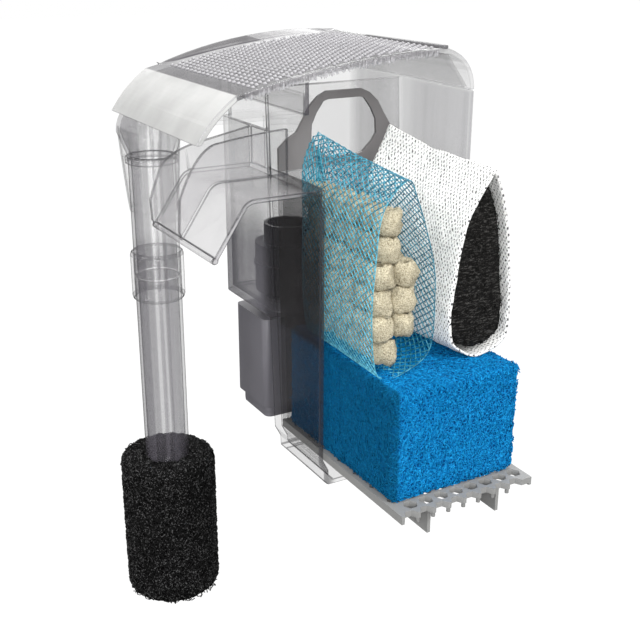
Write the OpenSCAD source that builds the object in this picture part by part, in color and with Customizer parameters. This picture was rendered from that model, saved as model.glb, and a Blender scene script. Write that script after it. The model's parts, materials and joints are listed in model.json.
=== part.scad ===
// Hang-on power filter for an aquarium, shown as a sectioned unit.
// The case, lid and basket end on one section plane; the media, the basket grid, the
// intake and the motor unit are whole. Millimetres, +Z up, -Y towards the tank, +X towards
// the open end. The origin is the middle of the rim seat, the face that sits on the tank's rim.

/* [Case] */
// Wall thickness of the clear case
case_t = 3; // [2.4:0.2:3.4]
// Distance from the middle of the spillway to the section plane
section_x = 41; // [36:1:46]
// Distance from the middle of the spillway to the far end of the case
case_far = 80; // [79:1:90]
// Distance from the middle of the rim seat to the case's tank-side wall
seat_back = 18; // [14:1:22]
// Depth of the case from its tank-side wall to its back
case_depth = 96; // [95:1:110]
// Height from the rim seat down to the underside of the media chamber
case_drop = 171; // [168:1:185]
// Height of the case rim above the rim seat
rim_h = 47; // [46:1:52]
// Distance from the middle of the spillway to the media chamber's far wall at its floor
chamber_far = 13; // [13:0.5:15]
// Lean of the media chamber's far wall, in degrees
chamber_lean = 3.7; // [3:0.1:4.2]
// Depth of the inlet chamber below the rim seat
inlet_drop = 86.5; // [84:0.5:89]
// Height of the inlet chamber's tank-side wall above the rim seat
inlet_front_h = 24; // [20:1:24]
// Radius of the case's upright corners
case_corner_r = 5; // [4:0.5:7]

/* [Spillway] */
// Thickness of the spillway floor
spill_t = 2.6; // [2:0.2:3.2]
// Distance from the middle of the rim seat to the bend over the tank's rim
bend_y = 19; // [16:1:22]
// Radius of the spillway floor over the bend
bend_r = 9; // [7:0.5:10]
// Slope of the spillway chute, in degrees
chute_slope = 56; // [50:1:60]
// Length of the spillway chute below the bend
chute_len = 29.5; // [24:0.5:31]
// Thickness of the spillway's far side wall
chute_side_t = 2.4; // [2:0.2:3]
// Thickness of the fin in the middle of the spillway
fin_t = 2.2; // [1.6:0.2:3]

/* [Lid] */
// Thickness of the lid
lid_t = 2.8; // [2.2:0.2:3.2]
// Reach of the lid's front lip from the middle of the rim seat
lid_reach = 50; // [48:1:54]
// Height of the lid's front lip above the rim seat
lip_h = 31.5; // [30:0.5:33]
// Height of the lid's highest line above the rim seat
lid_h = 70.5; // [69:0.5:74]
// Pull of the arch over the lid's top
top_arch = 7; // [2:0.5:9]
// Height of the raised band at the lid's far end
band_h = 3; // [2:0.5:4]
// Width of the raised band at the lid's far end
band_w = 12; // [8:1:16]

/* [Basket] */
// Wall thickness of the media basket
basket_t = 2; // [1.6:0.2:2.4]
// How far the basket's front wall stops short of the section
basket_cut = 8.5; // [0:0.5:12]
// Clearance between the basket and the case's tank-side wall
basket_gap = 1; // [0.6:0.2:1.2]
// Depth of the basket across the case
basket_depth = 85; // [84.6:0.2:85.6]
// Height of the basket wall above the rim seat
basket_top = 1.5; // [0:0.5:2]
// Height of the basket's handle above the rim seat
handle_h = 44; // [42:0.5:46]
// Thickness of the basket's floor grid
grid_t = 3.5; // [3:0.25:4.5]
// Reach of the grid past the section plane
grid_reach = 77.7; // [67:0.1:84]
// Distance between neighbouring hexagonal holes of the grid
hex_pitch = 9.75; // [9:0.25:12]
// Width of a hexagonal hole across its flats
hex_flats = 7; // [6:0.25:7.5]
// Height of the blades that the grid stands on
blade_h = 13.7; // [13:0.1:14.2]
// Distance between the two blades
blade_gap = 45; // [40:1:50]

/* [Media] */
// Length of the foam block
foam_len = 111; // [105:1:112]
// Depth of the foam block
foam_depth = 80; // [76:1:80]
// Height of the foam block
foam_h = 62; // [58:1:64]
// Length of the two media bags
bag_len = 85; // [80:1:90]
// Thickness of the bag fabric
bag_t = 0.8; // [0.6:0.1:1]
// Outside diameter of a ceramic ring
ring_d = 13.4; // [11:0.2:13.4]
// Bore of a ceramic ring
ring_bore = 5; // [3:0.5:6]
// Length of a ceramic ring
ring_len = 13.5; // [11:0.5:13.5]

/* [Intake] */
// Distance from the middle of the spillway to the axis of the intake and the motor
intake_x = 56; // [55.6:0.1:56.6]
// Distance from the middle of the rim seat to the intake tube's axis, towards the tank
intake_y = 36; // [34:0.5:38]
// Outside diameter of the intake tube
tube_d = 27; // [24:0.5:27]
// Wall thickness of the intake tube
tube_t = 1.8; // [1.4:0.1:2.2]
// Depth of the coupler's middle below the rim seat
coupler_drop = 61; // [58:1:70]
// Length of the coupler sleeve
coupler_len = 29; // [24:1:34]
// Length of the extension tube
extension_len = 131; // [110:1:160]
// Width of the duct that crosses the tank's rim
duct_w = 33; // [30:0.5:33]
// Height of the collar's top above the rim seat
collar_h = 9; // [4:0.5:10]
// Height of the top of the duct above the rim seat
duct_h = 39; // [38:0.5:40]

/* [Prefilter] */
// Outside diameter of the prefilter sponge
sponge_d = 59; // [50:1:70]
// Height of the prefilter sponge
sponge_h = 93; // [80:1:110]
// Width of a strainer slot
slot_w = 2.4; // [2:0.2:3]
// Number of upright slots round the strainer
slot_count = 12; // [8:1:16]

/* [Motor] */
// Distance from the middle of the rim seat to the impeller's axis, away from the tank
motor_y = 50; // [48:0.5:54]
// Width of the motor housing
motor_w = 40; // [36:1:42]
// Depth of the motor housing
motor_depth = 54; // [50:1:56]
// Height of the motor housing
motor_h = 67; // [60:1:75]
// Wall thickness of the motor housing
motor_t = 2.4; // [2:0.2:3]
// Radius of the rotor magnet
rotor_r = 9; // [8:0.25:10]
// Length of the rotor magnet
rotor_len = 28; // [24:1:30]
// Radius of the impeller over its blades
impeller_r = 14; // [12:0.5:15]
// Number of impeller blades
blade_count = 6; // [4:1:8]
// Radius of the ceramic shaft
shaft_r = 1.5; // [1.2:0.1:2]

/* [Hidden] */
$fn = 64;

seat_gap = 0.3;                 // gap under a piece that rests or lifts off
running = 0.06;                 // radial clearance of a running fit
front = seat_back;              // tank-side face of the case
back = seat_back + case_depth;  // back face of the case
floor_z = -case_drop;           // underside of the media chamber
floor_top = floor_z + case_t;
weir_h = spill_t;               // top of the spillway floor
tube_r = tube_d / 2;
coupler_t = 2;
spill_far = intake_x - tube_r - coupler_t - seat_gap;   // far side wall, beside the coupler

// X of a leaning wall's outer face at height z, where it stands at x0 at height z0
function leaning(x0, z0, angle, z) = x0 - tan(angle) * (z - z0);
function chamber_x(z) = leaning(-chamber_far, floor_z, chamber_lean, z);

// Points of an arc round [cy, cz] from angle a0 to a1
function arc(cy, cz, r, a0, a1, n = 8) =
    [for (i = [0:n]) let (a = a0 + (a1 - a0) * i / n) [cy + r * cos(a), cz + r * sin(a)]];

// Points of a quadratic curve from p0 to p2, drawn towards p1
function curve(p0, p1, p2, n = 12) =
    [for (i = [0:n]) let (s = i / n) p0 * (1 - s) * (1 - s) + p1 * 2 * s * (1 - s) + p2 * s * s];

// An open line of points, moved sideways by d to the right of its direction
function shifted(line, d) =
    [for (i = [0:len(line) - 1])
        let (a = line[max(i - 1, 0)], b = line[min(i + 1, len(line) - 1)], t = (b - a) / norm(b - a))
        line[i] + d * [t[1], -t[0]]];

// A closed outline, counter-clockwise, drawn in by d on every side
function drawn_in(loop, d) = let (n = len(loop)) [for (i = [0:n - 1])
    let (a = loop[(i + n - 1) % n], p = loop[i], b = loop[(i + 1) % n],
         u = (p - a) / norm(p - a), v = (b - p) / norm(b - p),
         m = [-u[1], u[0]], q = [-v[1], v[0]])
    p + d * (m + q) / (1 + m * q)];

// A list of points without those that repeat the one before
function distinct(list) =
    [for (i = [0:len(list) - 1]) if (i == 0 || norm(list[i] - list[max(i - 1, 0)]) > 0.001) list[i]];

function reversed(list) = [for (i = [len(list) - 1:-1:0]) list[i]];
function mirrored(half, middle) =
    concat(half, reversed([for (p = half) [2 * middle - p[0], p[1]]]));

// A Y-Z outline drawn out along X
module along_x(x0, x1) { translate([x0, 0, 0]) rotate([90, 0, 90]) linear_extrude(x1 - x0) children(); }

// An X-Z outline drawn out along Y
module along_y(y0, y1) { translate([0, y1, 0]) rotate([90, 0, 0]) linear_extrude(y1 - y0) children(); }

// A rectangle with round corners, as squares and circles
module round_rect(low, high, r) {
    translate(low + [r, 0]) square([high[0] - low[0] - 2 * r, high[1] - low[1]]);
    translate(low + [0, r]) square([high[0] - low[0], high[1] - low[1] - 2 * r]);
    for (x = [low[0] + r, high[0] - r], y = [low[1] + r, high[1] - r]) translate([x, y]) circle(r);
}

// A round tube standing on z = 0, of n sides
module tube(r, t, h, n = $fn) {
    difference() {
        cylinder(r = r, h = h, $fn = n);
        translate([0, 0, -1]) cylinder(r = r - t, h = h + 2, $fn = n);
    }
}

// ---------------------------------------------------------------- case
flange_drop = 15.5;     // height of the slanting band above the underside
band_drop = 7;          // height of the slanting band
tuck = 3.5;             // how far the slanting band draws in
foot_r = 2.5;

// Cross-section of the media chamber, drawn in by t
function chamber_section(t) = let (z = floor_z + t, lift = t / 4) mirrored([
    [front + t, rim_h + t],
    [front + t, floor_z + flange_drop + lift],
    [front + tuck + t, floor_z + flange_drop - band_drop + lift],
    [front + tuck + t, z + foot_r],
    [front + tuck + t + foot_r, z]], (front + back) / 2);

module chamber_block(t) {
    intersection() {
        along_x(-case_far, section_x + t) polygon(chamber_section(t));
        along_y(front, back) polygon([
            [chamber_x(floor_z) + t + foot_r, floor_z + t],
            [chamber_x(floor_z + foot_r) + t, floor_z + t + foot_r],
            [chamber_x(rim_h) + t, rim_h + t],
            [section_x + t, rim_h + t],
            [section_x + t, floor_z + t]]);
    }
}

module inlet_block(t, partition) {
    intersection() {
        translate([0, 0, -case_drop]) linear_extrude(2 * case_drop)
            round_rect([-case_far + t, front + t], [section_x, back - t], case_corner_r - t);
        along_y(front, back) polygon([
            [-case_far + t, -inlet_drop + t],
            [chamber_x(-inlet_drop) + partition, -inlet_drop + t],
            [chamber_x(rim_h + t) + partition, rim_h + t],
            [-case_far + t, rim_h + t]]);
    }
}

function chute_line(r) = concat(
    [[front + case_t, weir_h - bend_r + r]],
    arc(-bend_y, weir_h - bend_r, r, 90, 90 + chute_slope),
    [[-bend_y + r * cos(90 + chute_slope) - chute_len * cos(chute_slope),
      weir_h - bend_r + r * sin(90 + chute_slope) - chute_len * sin(chute_slope)]]);
chute_end = chute_line(bend_r - spill_t / 2)[len(chute_line(bend_r)) - 1];

module spillway() {
    under = chute_line(bend_r - spill_t);
    along_x(-spill_far, section_x) polygon(concat(chute_line(bend_r), reversed(under)));
    translate([-spill_far, chute_end[0], chute_end[1]]) rotate([0, 90, 0])
        cylinder(r = lip_bead_r, h = spill_far + section_x);
    lip = chute_end + [0.5, 0.5];
    along_x(-spill_far, -spill_far + chute_side_t) polygon(concat(
        under,
        [lip + [-3, 2], lip + [-3.6, 14], lip + [-2, 19]],
        curve(lip + [3.4, 32], lip + [9, 41], [-bend_y / 2, weir_h + 16]),
        [[front, inlet_front_h], [front + case_t, inlet_front_h], [front + case_t, 0]]));
    along_x(-fin_t / 2, fin_t / 2) polygon(concat(
        chute_line(bend_r - spill_t / 2),
        [lip + [-1.5, 1], lip + [-3, 5]],
        distinct(concat(
            curve(lip + [-2, 22], lip + [9, 50], [-bend_y, 24]),
            curve([-bend_y, 24], [-4, 26.5], [front, 28]))),
        [[front + case_t, 28]]));
}
lip_bead_r = 1.9;

module inlet_port() {
    translate([chamber_x(-inlet_drop) - port_w, motor_y - port_w / 2, -inlet_drop + case_t + 1])
        cube([2 * port_w, port_w, port_h]);
}
port_w = 18;
port_h = 14;

module filter_case() {
    color([0.86, 0.87, 0.89, 0.45]) difference() {
        union() {
            difference() {
                union() { chamber_block(0); inlet_block(0, case_t); }
                chamber_block(case_t);
                inlet_block(case_t, 0);
                // the weir: the chamber's tank-side wall ends at the spillway floor
                translate([chamber_x(weir_h) + case_t, front - 1, weir_h])
                    cube([section_x - chamber_x(weir_h), case_t + 1, rim_h]);
                // the inlet chamber's lower tank-side wall
                translate([-case_far - 1, front - 1, inlet_front_h])
                    cube([case_far + section_x, case_t + 1, rim_h]);
                // its notch for the duct goes round the upright corner
                translate([-case_far - 1, front - 1, inlet_front_h])
                    cube([2 * case_corner_r, case_corner_r + 1 + seat_gap, rim_h]);
            }
            spillway();
        }
        inlet_port();
        translate([-intake_x, motor_y, -inlet_drop - 1]) cylinder(r = spigot_r + seat_gap, h = case_t + 2);
    }
}

// ---------------------------------------------------------------- lid
lid_foot = rim_h + seat_gap;            // the lid's lower edge, over the case rim
front_top = [-28, 54];                  // upper edge of the front lip
rear_top = [back - 20, lid_h];          // highest line, above the back
lid_line = distinct(concat(
    curve([-lid_reach, lip_h], [-lid_reach + 8.5, lip_h + 13.7], front_top),
    curve(front_top, (front_top + rear_top) / 2 + [0, top_arch], rear_top),
    curve(rear_top, [back - 2, lid_h - 4.5], [back, lid_foot + 2.5]),
    [[back, lid_foot]]));

// The lid's outline seen from the end, closed below, drawn in by t
function lid_section(t) = concat(shifted(lid_line, t),
    [[back - t, lid_foot - t], [front, lid_foot - t], [front, lip_h - t], [-lid_reach + t, lip_h - t]]);

module lid() {
    color([0.9, 0.91, 0.92, 0.5]) {
        difference() {
            along_x(-case_far, section_x) polygon(lid_section(0));
            along_x(-case_far + lid_t, section_x + 1) polygon(lid_section(lid_t));
        }
        lid_band();
        // stiffening rib over the spillway
        along_x(-intake_x + duct_w / 2 + 4, section_x)
            polygon([[8.5, 41.5], [11.5, 41.5], [11.5, 60.2], [8.5, 60.2]]);
        // sloping plate that turns splashed water back into the case
        along_x(-case_far + lid_t - 0.1, section_x) polygon([
            rear_top + [-2.2, -1.6], rear_top + [0.4, -1.6],
            [back - 4.4, lid_foot + 1.8], [back - 6.8, lid_foot + 1.4]]);
    }
}

// The raised band that falls from the far end to the top of the lid
module lid_band() {
    top = curve(front_top, (front_top + rear_top) / 2 + [0, top_arch], rear_top);
    raised = curve(front_top + [8, 2], (front_top + rear_top) / 2 + [0, top_arch + 2 * band_h], rear_top + [2, 0.6]);
    base = [rear_top + [0, -lid_t / 2], front_top + [8, -0.6]];
    hull() {
        along_x(-case_far, -case_far + 2) polygon(concat(raised, base));
        along_x(-case_far + band_w - 1, -case_far + band_w)
            polygon(concat([for (i = [1:len(top) - 2]) top[i] - [0, 0.4]], base));
    }
}

// ---------------------------------------------------------------- basket
basket_front = front + case_t + basket_gap;
basket_back = basket_front + basket_depth;
basket_mid = (basket_front + basket_back) / 2;
grid_bottom = floor_top + seat_gap + blade_h;
grid_top = grid_bottom + grid_t;
basket_lean = 1.3;
wall_gap = 0.5;                         // between the basket's foot and the leaning wall
basket_far = chamber_x(grid_bottom) + case_t + wall_gap;
function basket_x(z) = leaning(basket_far, grid_bottom, basket_lean, z);
flange_t = 1.8;
flange_h = 1.2;

module basket() {
    color([0.17, 0.15, 0.15, 0.6]) {
        difference() {
            along_y(basket_front, basket_back) polygon([
                [basket_x(grid_top), grid_top], [section_x, grid_top],
                [section_x, basket_top], [basket_x(basket_top), basket_top]]);
            along_y(basket_front + basket_t, basket_back - basket_t) polygon([
                [basket_x(grid_top) + basket_t, grid_top - 1], [section_x + 1, grid_top - 1],
                [section_x + 1, basket_top + 1], [basket_x(basket_top) + basket_t, basket_top + 1]]);
            translate([section_x - basket_cut, basket_front - 1, grid_top - 1])
                cube([basket_cut + 1, basket_t + 2, basket_top - grid_top + 2]);
        }
        handle();
    }
}

// The far wall goes on upwards as a plate with a hexagonal hand hole
module handle() {
    half = basket_depth / 2;
    outside = mirrored([
        [basket_mid - half, basket_top - 2], [basket_mid - half, basket_top + 13],
        [basket_mid - half + 3, basket_top + 15.5], [basket_mid - 37.5, handle_h - 25],
        [basket_mid - 31, handle_h - 21.5], [basket_mid - 27.5, handle_h - 16],
        [basket_mid - 22.5, handle_h - 7.5], [basket_mid - 17, handle_h - 2.5],
        [basket_mid - 11.5, handle_h]], basket_mid);
    hole = mirrored([
        [basket_mid - 8.5, handle_h - 37], [basket_mid - 12.5, handle_h - 36],
        [basket_mid - 19, handle_h - 30], [basket_mid - 21.6, handle_h - 26],
        [basket_mid - 21.2, handle_h - 18], [basket_mid - 18, handle_h - 11.5],
        [basket_mid - 13.5, handle_h - 5.5], [basket_mid - 10.5, handle_h - 4.6]], basket_mid);
    intersection() {
        along_y(basket_front, basket_back) polygon([
            [basket_x(-10), -10], [basket_x(-10) + basket_t, -10],
            [basket_x(handle_h) + basket_t, handle_h], [basket_x(handle_h), handle_h]]);
        along_x(-chamber_far - case_far, section_x) difference() {
            polygon(outside);
            polygon(hole);
        }
    }
}

grid_end = section_x + grid_reach;
hex_row = hex_pitch * cos(30);
hex_r = hex_flats / 2 / cos(30);
rows = floor((grid_end - basket_x(grid_top) - hex_pitch) / hex_row);
columns = 1 + floor((basket_depth - 2 * flange_t - hex_flats - hex_pitch / 2) / hex_pitch);
function hex_y(i, j) = basket_mid + (j - (columns - 1) / 2) * hex_pitch + (i % 2 == 0 ? -1 : 1) * hex_pitch / 4;

module basket_grid() {
    color([0.62, 0.62, 0.63]) {
        difference() {
            translate([basket_x(grid_top), basket_front, grid_bottom])
                cube([grid_end - basket_x(grid_top), basket_depth, grid_t]);
            // the open end cuts through one row of holes, which leaves its edge in teeth
            for (i = [0:rows], j = [0:columns - 1])
                translate([grid_end - i * hex_row, hex_y(i, j), grid_bottom - 1])
                    rotate([0, 0, 30]) cylinder(r = hex_r, h = grid_t + 2, $fn = 6);
        }
        for (y = [basket_front, basket_back - flange_t])
            translate([basket_x(grid_top), y, grid_bottom - flange_h])
                cube([grid_end - basket_x(grid_top), flange_t, flange_h + 1]);
        for (y = [basket_mid - blade_gap / 2, basket_mid + blade_gap / 2])
            translate([basket_far + 3, y - 1, grid_bottom - blade_h])
                cube([grid_end - basket_far - 3 - hex_r, 2, blade_h + 1]);
        for (j = [0:columns - 2])
            translate([grid_end - peg_r - 0.4, (hex_y(0, j) + hex_y(0, j + 1)) / 2, grid_bottom - peg_h])
                cylinder(r = peg_r, h = peg_h + 1);
    }
}
peg_r = 1.1;
peg_h = 2.6;

// ---------------------------------------------------------------- media
foam_front = basket_front + basket_t + seat_gap;
foam_far = basket_x(grid_top) + basket_t + 3.7;
foam_top = grid_top + foam_h;

module foam_block() {
    color([0.04, 0.42, 0.72]) translate([0, 0, grid_top]) linear_extrude(foam_h)
        round_rect([foam_far, foam_front], [foam_far + foam_len, foam_front + foam_depth], 2);
}

bag_far = foam_far + 6;
bag_foot = foam_top + seat_gap;

// Outlines of the bags across their length, as shares of their width and height round the peak's share p
function net_shape(p) = [
    [0.16, 0], [0.5, 0], [0.94, 0.1], [1, 0.38], [0.96, 0.56], [p + 0.31, 0.75], [p + 0.16, 0.9], [p, 1],
    [max(p - 0.36, 0.03), 0.86], [p > 0.3 ? 0.04 : 0.015, 0.6], [0, 0.37], [0.04, 0.12]];
function carbon_shape(p) = [
    [0.45, 0], [0.8, 0.03], [1, 0.12], [0.97, 0.45], [p + 0.24, 0.78], [p + 0.05, 0.98], [p, 1],
    [p - 0.1, 0.94], [p - 0.38, 0.77], [0.09, 0.58], [0, 0.3], [0.02, 0.14], [0.16, 0.06]];

// Such an outline at a station: [share of the length, where it leans to, width, height, the peak's share]
function bag_outline(net, s) = [
    for (q = net ? net_shape(s[4]) : carbon_shape(s[4])) [s[1] + s[2] * q[0], bag_foot + s[3] * q[1]]];

// A bag drawn in by inset between x0 and x1
module bag_form(net, inset, x0, x1) {
    stations = net ? net_stations : carbon_stations;
    for (i = [0:len(stations) - 2]) hull() for (s = [stations[i], stations[i + 1]])
        translate([x0 + (x1 - x0) * s[0], 0, 0]) along_x(0, 0.1)
            polygon(drawn_in(bag_outline(net, s), inset));
}

net_stations = [[0, foam_front + 0.3, 32.8, 116.5, 0.26], [0.45, foam_front + 0.2, 33, 108, 0.44],
                [1, foam_front - 2.5, 39, 103, 0.5]];
carbon_stations = [[0, 64, 33, 116.5, 0.47], [0.45, 67, 35, 106, 0.6], [1, 71, 40, 102, 0.6]];

module net_bag() {
    color([0.1, 0.6, 0.72, 0.7]) difference() {
        bag_form(true, 0, bag_far, bag_far + bag_len);
        bag_form(true, bag_t, bag_far + bag_t, bag_far + bag_len + 0.2);
    }
}

module carbon_bag() {
    color([0.93, 0.93, 0.91]) difference() {
        bag_form(false, 0, bag_far, bag_far + bag_len);
        bag_form(false, bag_t, bag_far + bag_t, bag_far + bag_len + 0.2);
    }
}

fill_gap = 0.5;
fill_recess = 8;                // how far the carbon stops short of the bag's open end
module carbon_fill() {
    color([0.08, 0.08, 0.08]) difference() {
        bag_form(false, bag_t + fill_gap, bag_far + bag_t + fill_gap, bag_far + bag_len - 1);
        translate([bag_far + bag_len - fill_recess, front, floor_z]) cube([fill_recess, case_depth, case_drop]);
    }
}

ring_gap = 0.3;
ring_pitch = ring_d + ring_gap;
ring_rows = floor((bag_len - 2 * bag_t) / ring_pitch);
// Layers of rings from the bag's foot up: [rings abreast, place across the bag at its far end, at its open end]
ring_layers = [[1, 12.8, 12.8], [2, 16.1, 16.25], [2, 15.7, 15.7], [2, 16.2, 16.45], [1, 12.5, 12.5],
               [1, 9.5, 13.8]];
function net_lean(share) = lookup(share, [for (s = net_stations) [s[0], s[1]]]);

// Rings stacked upright inside the net bag, two abreast where it is wide enough
module ceramic_rings() {
    color([0.8, 0.74, 0.6])
        for (i = [0:ring_rows - 1], k = [0:len(ring_layers) - 1])
            let (x = bag_far + bag_len - 1 - (i + 0.5) * ring_pitch, share = (x - bag_far) / bag_len,
                 layer = ring_layers[k], abreast = layer[0],
                 y = net_lean(share) + layer[1] + (layer[2] - layer[1]) * share)
                for (j = [0:abreast - 1])
                    translate([x, y + (j - (abreast - 1) / 2) * ring_pitch,
                               bag_foot + 5 + k * (ring_len + ring_gap)])
                        tube(ring_d / 2, (ring_d - ring_bore) / 2, ring_len, 32);
}

// ---------------------------------------------------------------- intake
leg_r = 12;                              // inner leg, over the impeller cover
leg_foot = -49;
coupler_top = -coupler_drop + coupler_len / 2;
extension_top = -coupler_drop - 1;
extension_foot = extension_top - extension_len;
elbow_r = tube_r + 5;                    // outside radius of the elbow over the tank
duct_under = inlet_front_h + 1;          // underside of the duct, over the case wall
duct_foot = duct_h - elbow_r;            // where the elbow over the tank begins
duct_x0 = -intake_x + tube_r - duct_w;   // far side of the duct, in line with the tube on its near side

module intake_form(i) {
    // straight part of the leg in the tank
    translate([-intake_x, -intake_y, -coupler_drop - (i > 0 ? 1 : 0)])
        cylinder(r = tube_r - i, h = coupler_drop + collar_h + (i > 0 ? 1 : 0));
    // above the collar the leg widens into the flat duct
    hull() {
        translate([-intake_x, -intake_y, collar_h]) cylinder(r = tube_r - i, h = 0.1, $fn = 48);
        translate([duct_x0 + i, -intake_y - tube_r + i, duct_foot])
            cube([duct_w - 2 * i, 2 * tube_r - 2 * i, 0.1]);
    }
    // the duct, from the elbow over the tank to the elbow over the impeller
    along_x(duct_x0 + i, duct_x0 + duct_w - i) polygon(concat(
        [[-intake_y + tube_r - i, duct_foot], [-intake_y - tube_r + i, duct_foot]],
        arc(-intake_y - tube_r + elbow_r, duct_h - elbow_r, elbow_r - i, 180, 90),
        arc(motor_y + leg_r - 8, duct_h - 8, 8 - i, 90, 0, 4),
        [[motor_y + leg_r - i, duct_under + i], [-intake_y + tube_r + 5, duct_under + i]]));
    // the socket of the inner leg
    translate([-intake_x, motor_y, duct_under - (i > 0 ? 1 : leg_socket_h)])
        cylinder(r = i > 0 ? leg_r - i : leg_r + seat_gap + leg_socket_t, h = i > 0 ? 1 + 2 * i : leg_socket_h + 1);
}
leg_socket_h = 8;
leg_socket_t = 1.6;

module intake_u_tube() {
    color([0.8, 0.81, 0.84, 0.5]) difference() {
        intake_form(0);
        intake_form(tube_t);
        translate([-intake_x, motor_y, duct_under - leg_socket_h - 1])
            cylinder(r = leg_r + seat_gap, h = leg_socket_h + 1);
    }
}

// The leg from the duct down to the impeller cover
module inner_leg() {
    color([0.8, 0.81, 0.84, 0.5]) translate([-intake_x, motor_y, leg_foot])
        tube(leg_r, tube_t, duct_under - seat_gap - leg_foot);
}

module intake_collar() {
    color([0.86, 0.87, 0.9, 0.6]) translate([-intake_x, -intake_y, collar_h - collar_len])
        tube(tube_r + 1.6, 1.6 - running, collar_len);
}
collar_len = 4;

module coupler_sleeve() {
    r = tube_r + coupler_t;
    color([0.7, 0.7, 0.74, 0.6]) translate([-intake_x, -intake_y, coupler_top - coupler_len])
        rotate_extrude() polygon([
            [tube_r + running, 0], [r - 1, 0], [r, 3], [r, coupler_len - 3], [r - 1, coupler_len],
            [tube_r + running, coupler_len]]);
}

module extension_tube() {
    color([0.76, 0.77, 0.8, 0.5]) translate([-intake_x, -intake_y, extension_foot])
        tube(tube_r, tube_t, extension_len);
}

// ---------------------------------------------------------------- prefilter
sponge_top = -178.5;
sponge_foot = sponge_top - sponge_h;
strainer_top = extension_foot - seat_gap;
strainer_len = sponge_h - (sponge_top - strainer_top) - 9;
strainer_r = tube_r - 0.4;

module intake_strainer() {
    spigot = 9;
    color([0.25, 0.25, 0.27]) translate([-intake_x, -intake_y, strainer_top - strainer_len]) {
        difference() {
            union() {
                cylinder(r = strainer_r, h = strainer_len);
                cylinder(r = tube_r - tube_t - 0.1, h = strainer_len + spigot);
            }
            translate([0, 0, 2]) cylinder(r = tube_r - tube_t - 2, h = strainer_len + spigot);
            for (a = [0:slot_count - 1]) rotate([0, 0, a * 360 / slot_count])
                for (z = [5, strainer_len / 2 + 2])
                    translate([tube_r / 2, -slot_w / 2, z]) cube([tube_r, slot_w, strainer_len / 2 - 7]);
        }
    }
}

module prefilter_sponge() {
    edge = 4;
    r = sponge_d / 2;
    bore = tube_r + 0.3;
    color([0.09, 0.09, 0.09]) translate([-intake_x, -intake_y, sponge_foot])
        rotate_extrude() polygon(concat(
            [[0, 0]], arc(r - edge, edge, edge, -90, 0, 5), arc(r - edge, sponge_h - edge, edge, 0, 90, 5),
            [[bore, sponge_h], [bore, 8], [0, 8]]));
}

// ---------------------------------------------------------------- motor
spigot_r = 13;
neck_h = 8.5;                           // neck between the case and the motor housing
well_t = 1.6;
well_r = rotor_r + 0.6;
motor_top = -inlet_drop - seat_gap - neck_h;
motor_foot = motor_top - motor_h;
inlet_floor = -inlet_drop + case_t;
rotor_top = -inlet_drop - 8;
rotor_foot = rotor_top - rotor_len;
well_foot = rotor_foot - 6;
shaft_foot = well_foot + 1;
cover_top = leg_foot - 4;
cover_r = 20;

// The body of the housing, drawn in by t: a tall block on a narrower chamfered step
module motor_block(t) {
    step = 2.5;
    r = max(4 - t, 0.8);
    translate([-intake_x, motor_y, motor_foot + 8]) linear_extrude(motor_h - 8 - t)
        round_rect([-motor_w / 2 + t, -motor_depth / 2 + t], [motor_w / 2 - t, motor_depth / 2 - t], r);
    translate([-intake_x, motor_y, motor_foot]) intersection() {
        linear_extrude(8.1)
            round_rect([-motor_w / 2 + step + t, -motor_depth / 2 + step + t],
                       [motor_w / 2 - step - t, motor_depth / 2 - step - t], r);
        along_y(-motor_depth, motor_depth) polygon([
            [-motor_w / 2 + step + t + 4, 0], [-motor_w / 2 + step + t, 5], [-motor_w / 2 + step + t, 9],
            [motor_w / 2, 9], [motor_w / 2, 0]]);
    }
}

module motor_housing() {
    color([0.46, 0.46, 0.48]) difference() {
        union() {
            difference() {
                motor_block(0);
                motor_block(motor_t);
                translate([-intake_x, motor_y, motor_foot - 1]) linear_extrude(base_t + 1)
                    round_rect([-motor_w, -motor_depth], [motor_w, motor_depth], 3);
            }
            translate([-intake_x, motor_y, motor_top - motor_t]) cylinder(r = 22, h = motor_t);
            translate([-intake_x, motor_y, motor_top - 0.1]) cylinder(r = 17, h = neck_h + 0.1);
            translate([-intake_x, motor_y, motor_top]) cylinder(r = spigot_r, h = neck_h + seat_gap + case_t + 1);
            translate([-intake_x, motor_y, well_foot - well_t])
                cylinder(r = well_r + well_t, h = motor_top - well_foot + well_t);
        }
        translate([-intake_x, motor_y, well_foot]) cylinder(r = well_r, h = case_drop);
        // groove for the seal round the spigot
        translate([-intake_x, motor_y, -inlet_drop + case_t - 0.4]) tube(spigot_r + 1, 2.2, 1.6);
        // hole for the cord gland
        translate([-intake_x, motor_y + motor_depth / 2 - 4, gland_z]) rotate([-90, 0, 0])
            cylinder(r = gland_r - 1.5, h = 8);
    }
}
base_t = 2.4;
gland_r = 5.5;
gland_bore_r = 3.4;
gland_z = motor_foot + 20;

module motor_base() {
    color([0.4, 0.4, 0.42]) difference() {
        intersection() {
            motor_block(0);
            translate([-intake_x, motor_y, motor_foot]) linear_extrude(base_t)
                round_rect([-motor_w, -motor_depth], [motor_w, motor_depth], 3);
        }
        screw_places() translate([0, 0, -1]) cylinder(r = 1.6, h = 6);
    }
}

module screw_places() {
    for (x = [-8, 10], y = [-motor_depth / 2 + 7.5, motor_depth / 2 - 7.5])
        translate([-intake_x + x, motor_y + y, motor_foot]) children();
}

module base_screws() {
    color([0.7, 0.7, 0.72]) screw_places() {
        cylinder(r = 1.5, h = 7);
        translate([0, 0, -1.4]) cylinder(r = 2.8, h = 1.4);
    }
}

core_h = 14;
core_top = rotor_foot + rotor_len / 2 + core_h / 2;
limb = 5;
core_gap = 0.8;                         // between the core and the housing's walls
inside_w = motor_w - 2 * (motor_t + core_gap);
yoke_y = motor_depth / 2 - motor_t - core_gap;
coil_t = motor_top - motor_t - seat_gap - core_top;    // fills the room over the core

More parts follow.
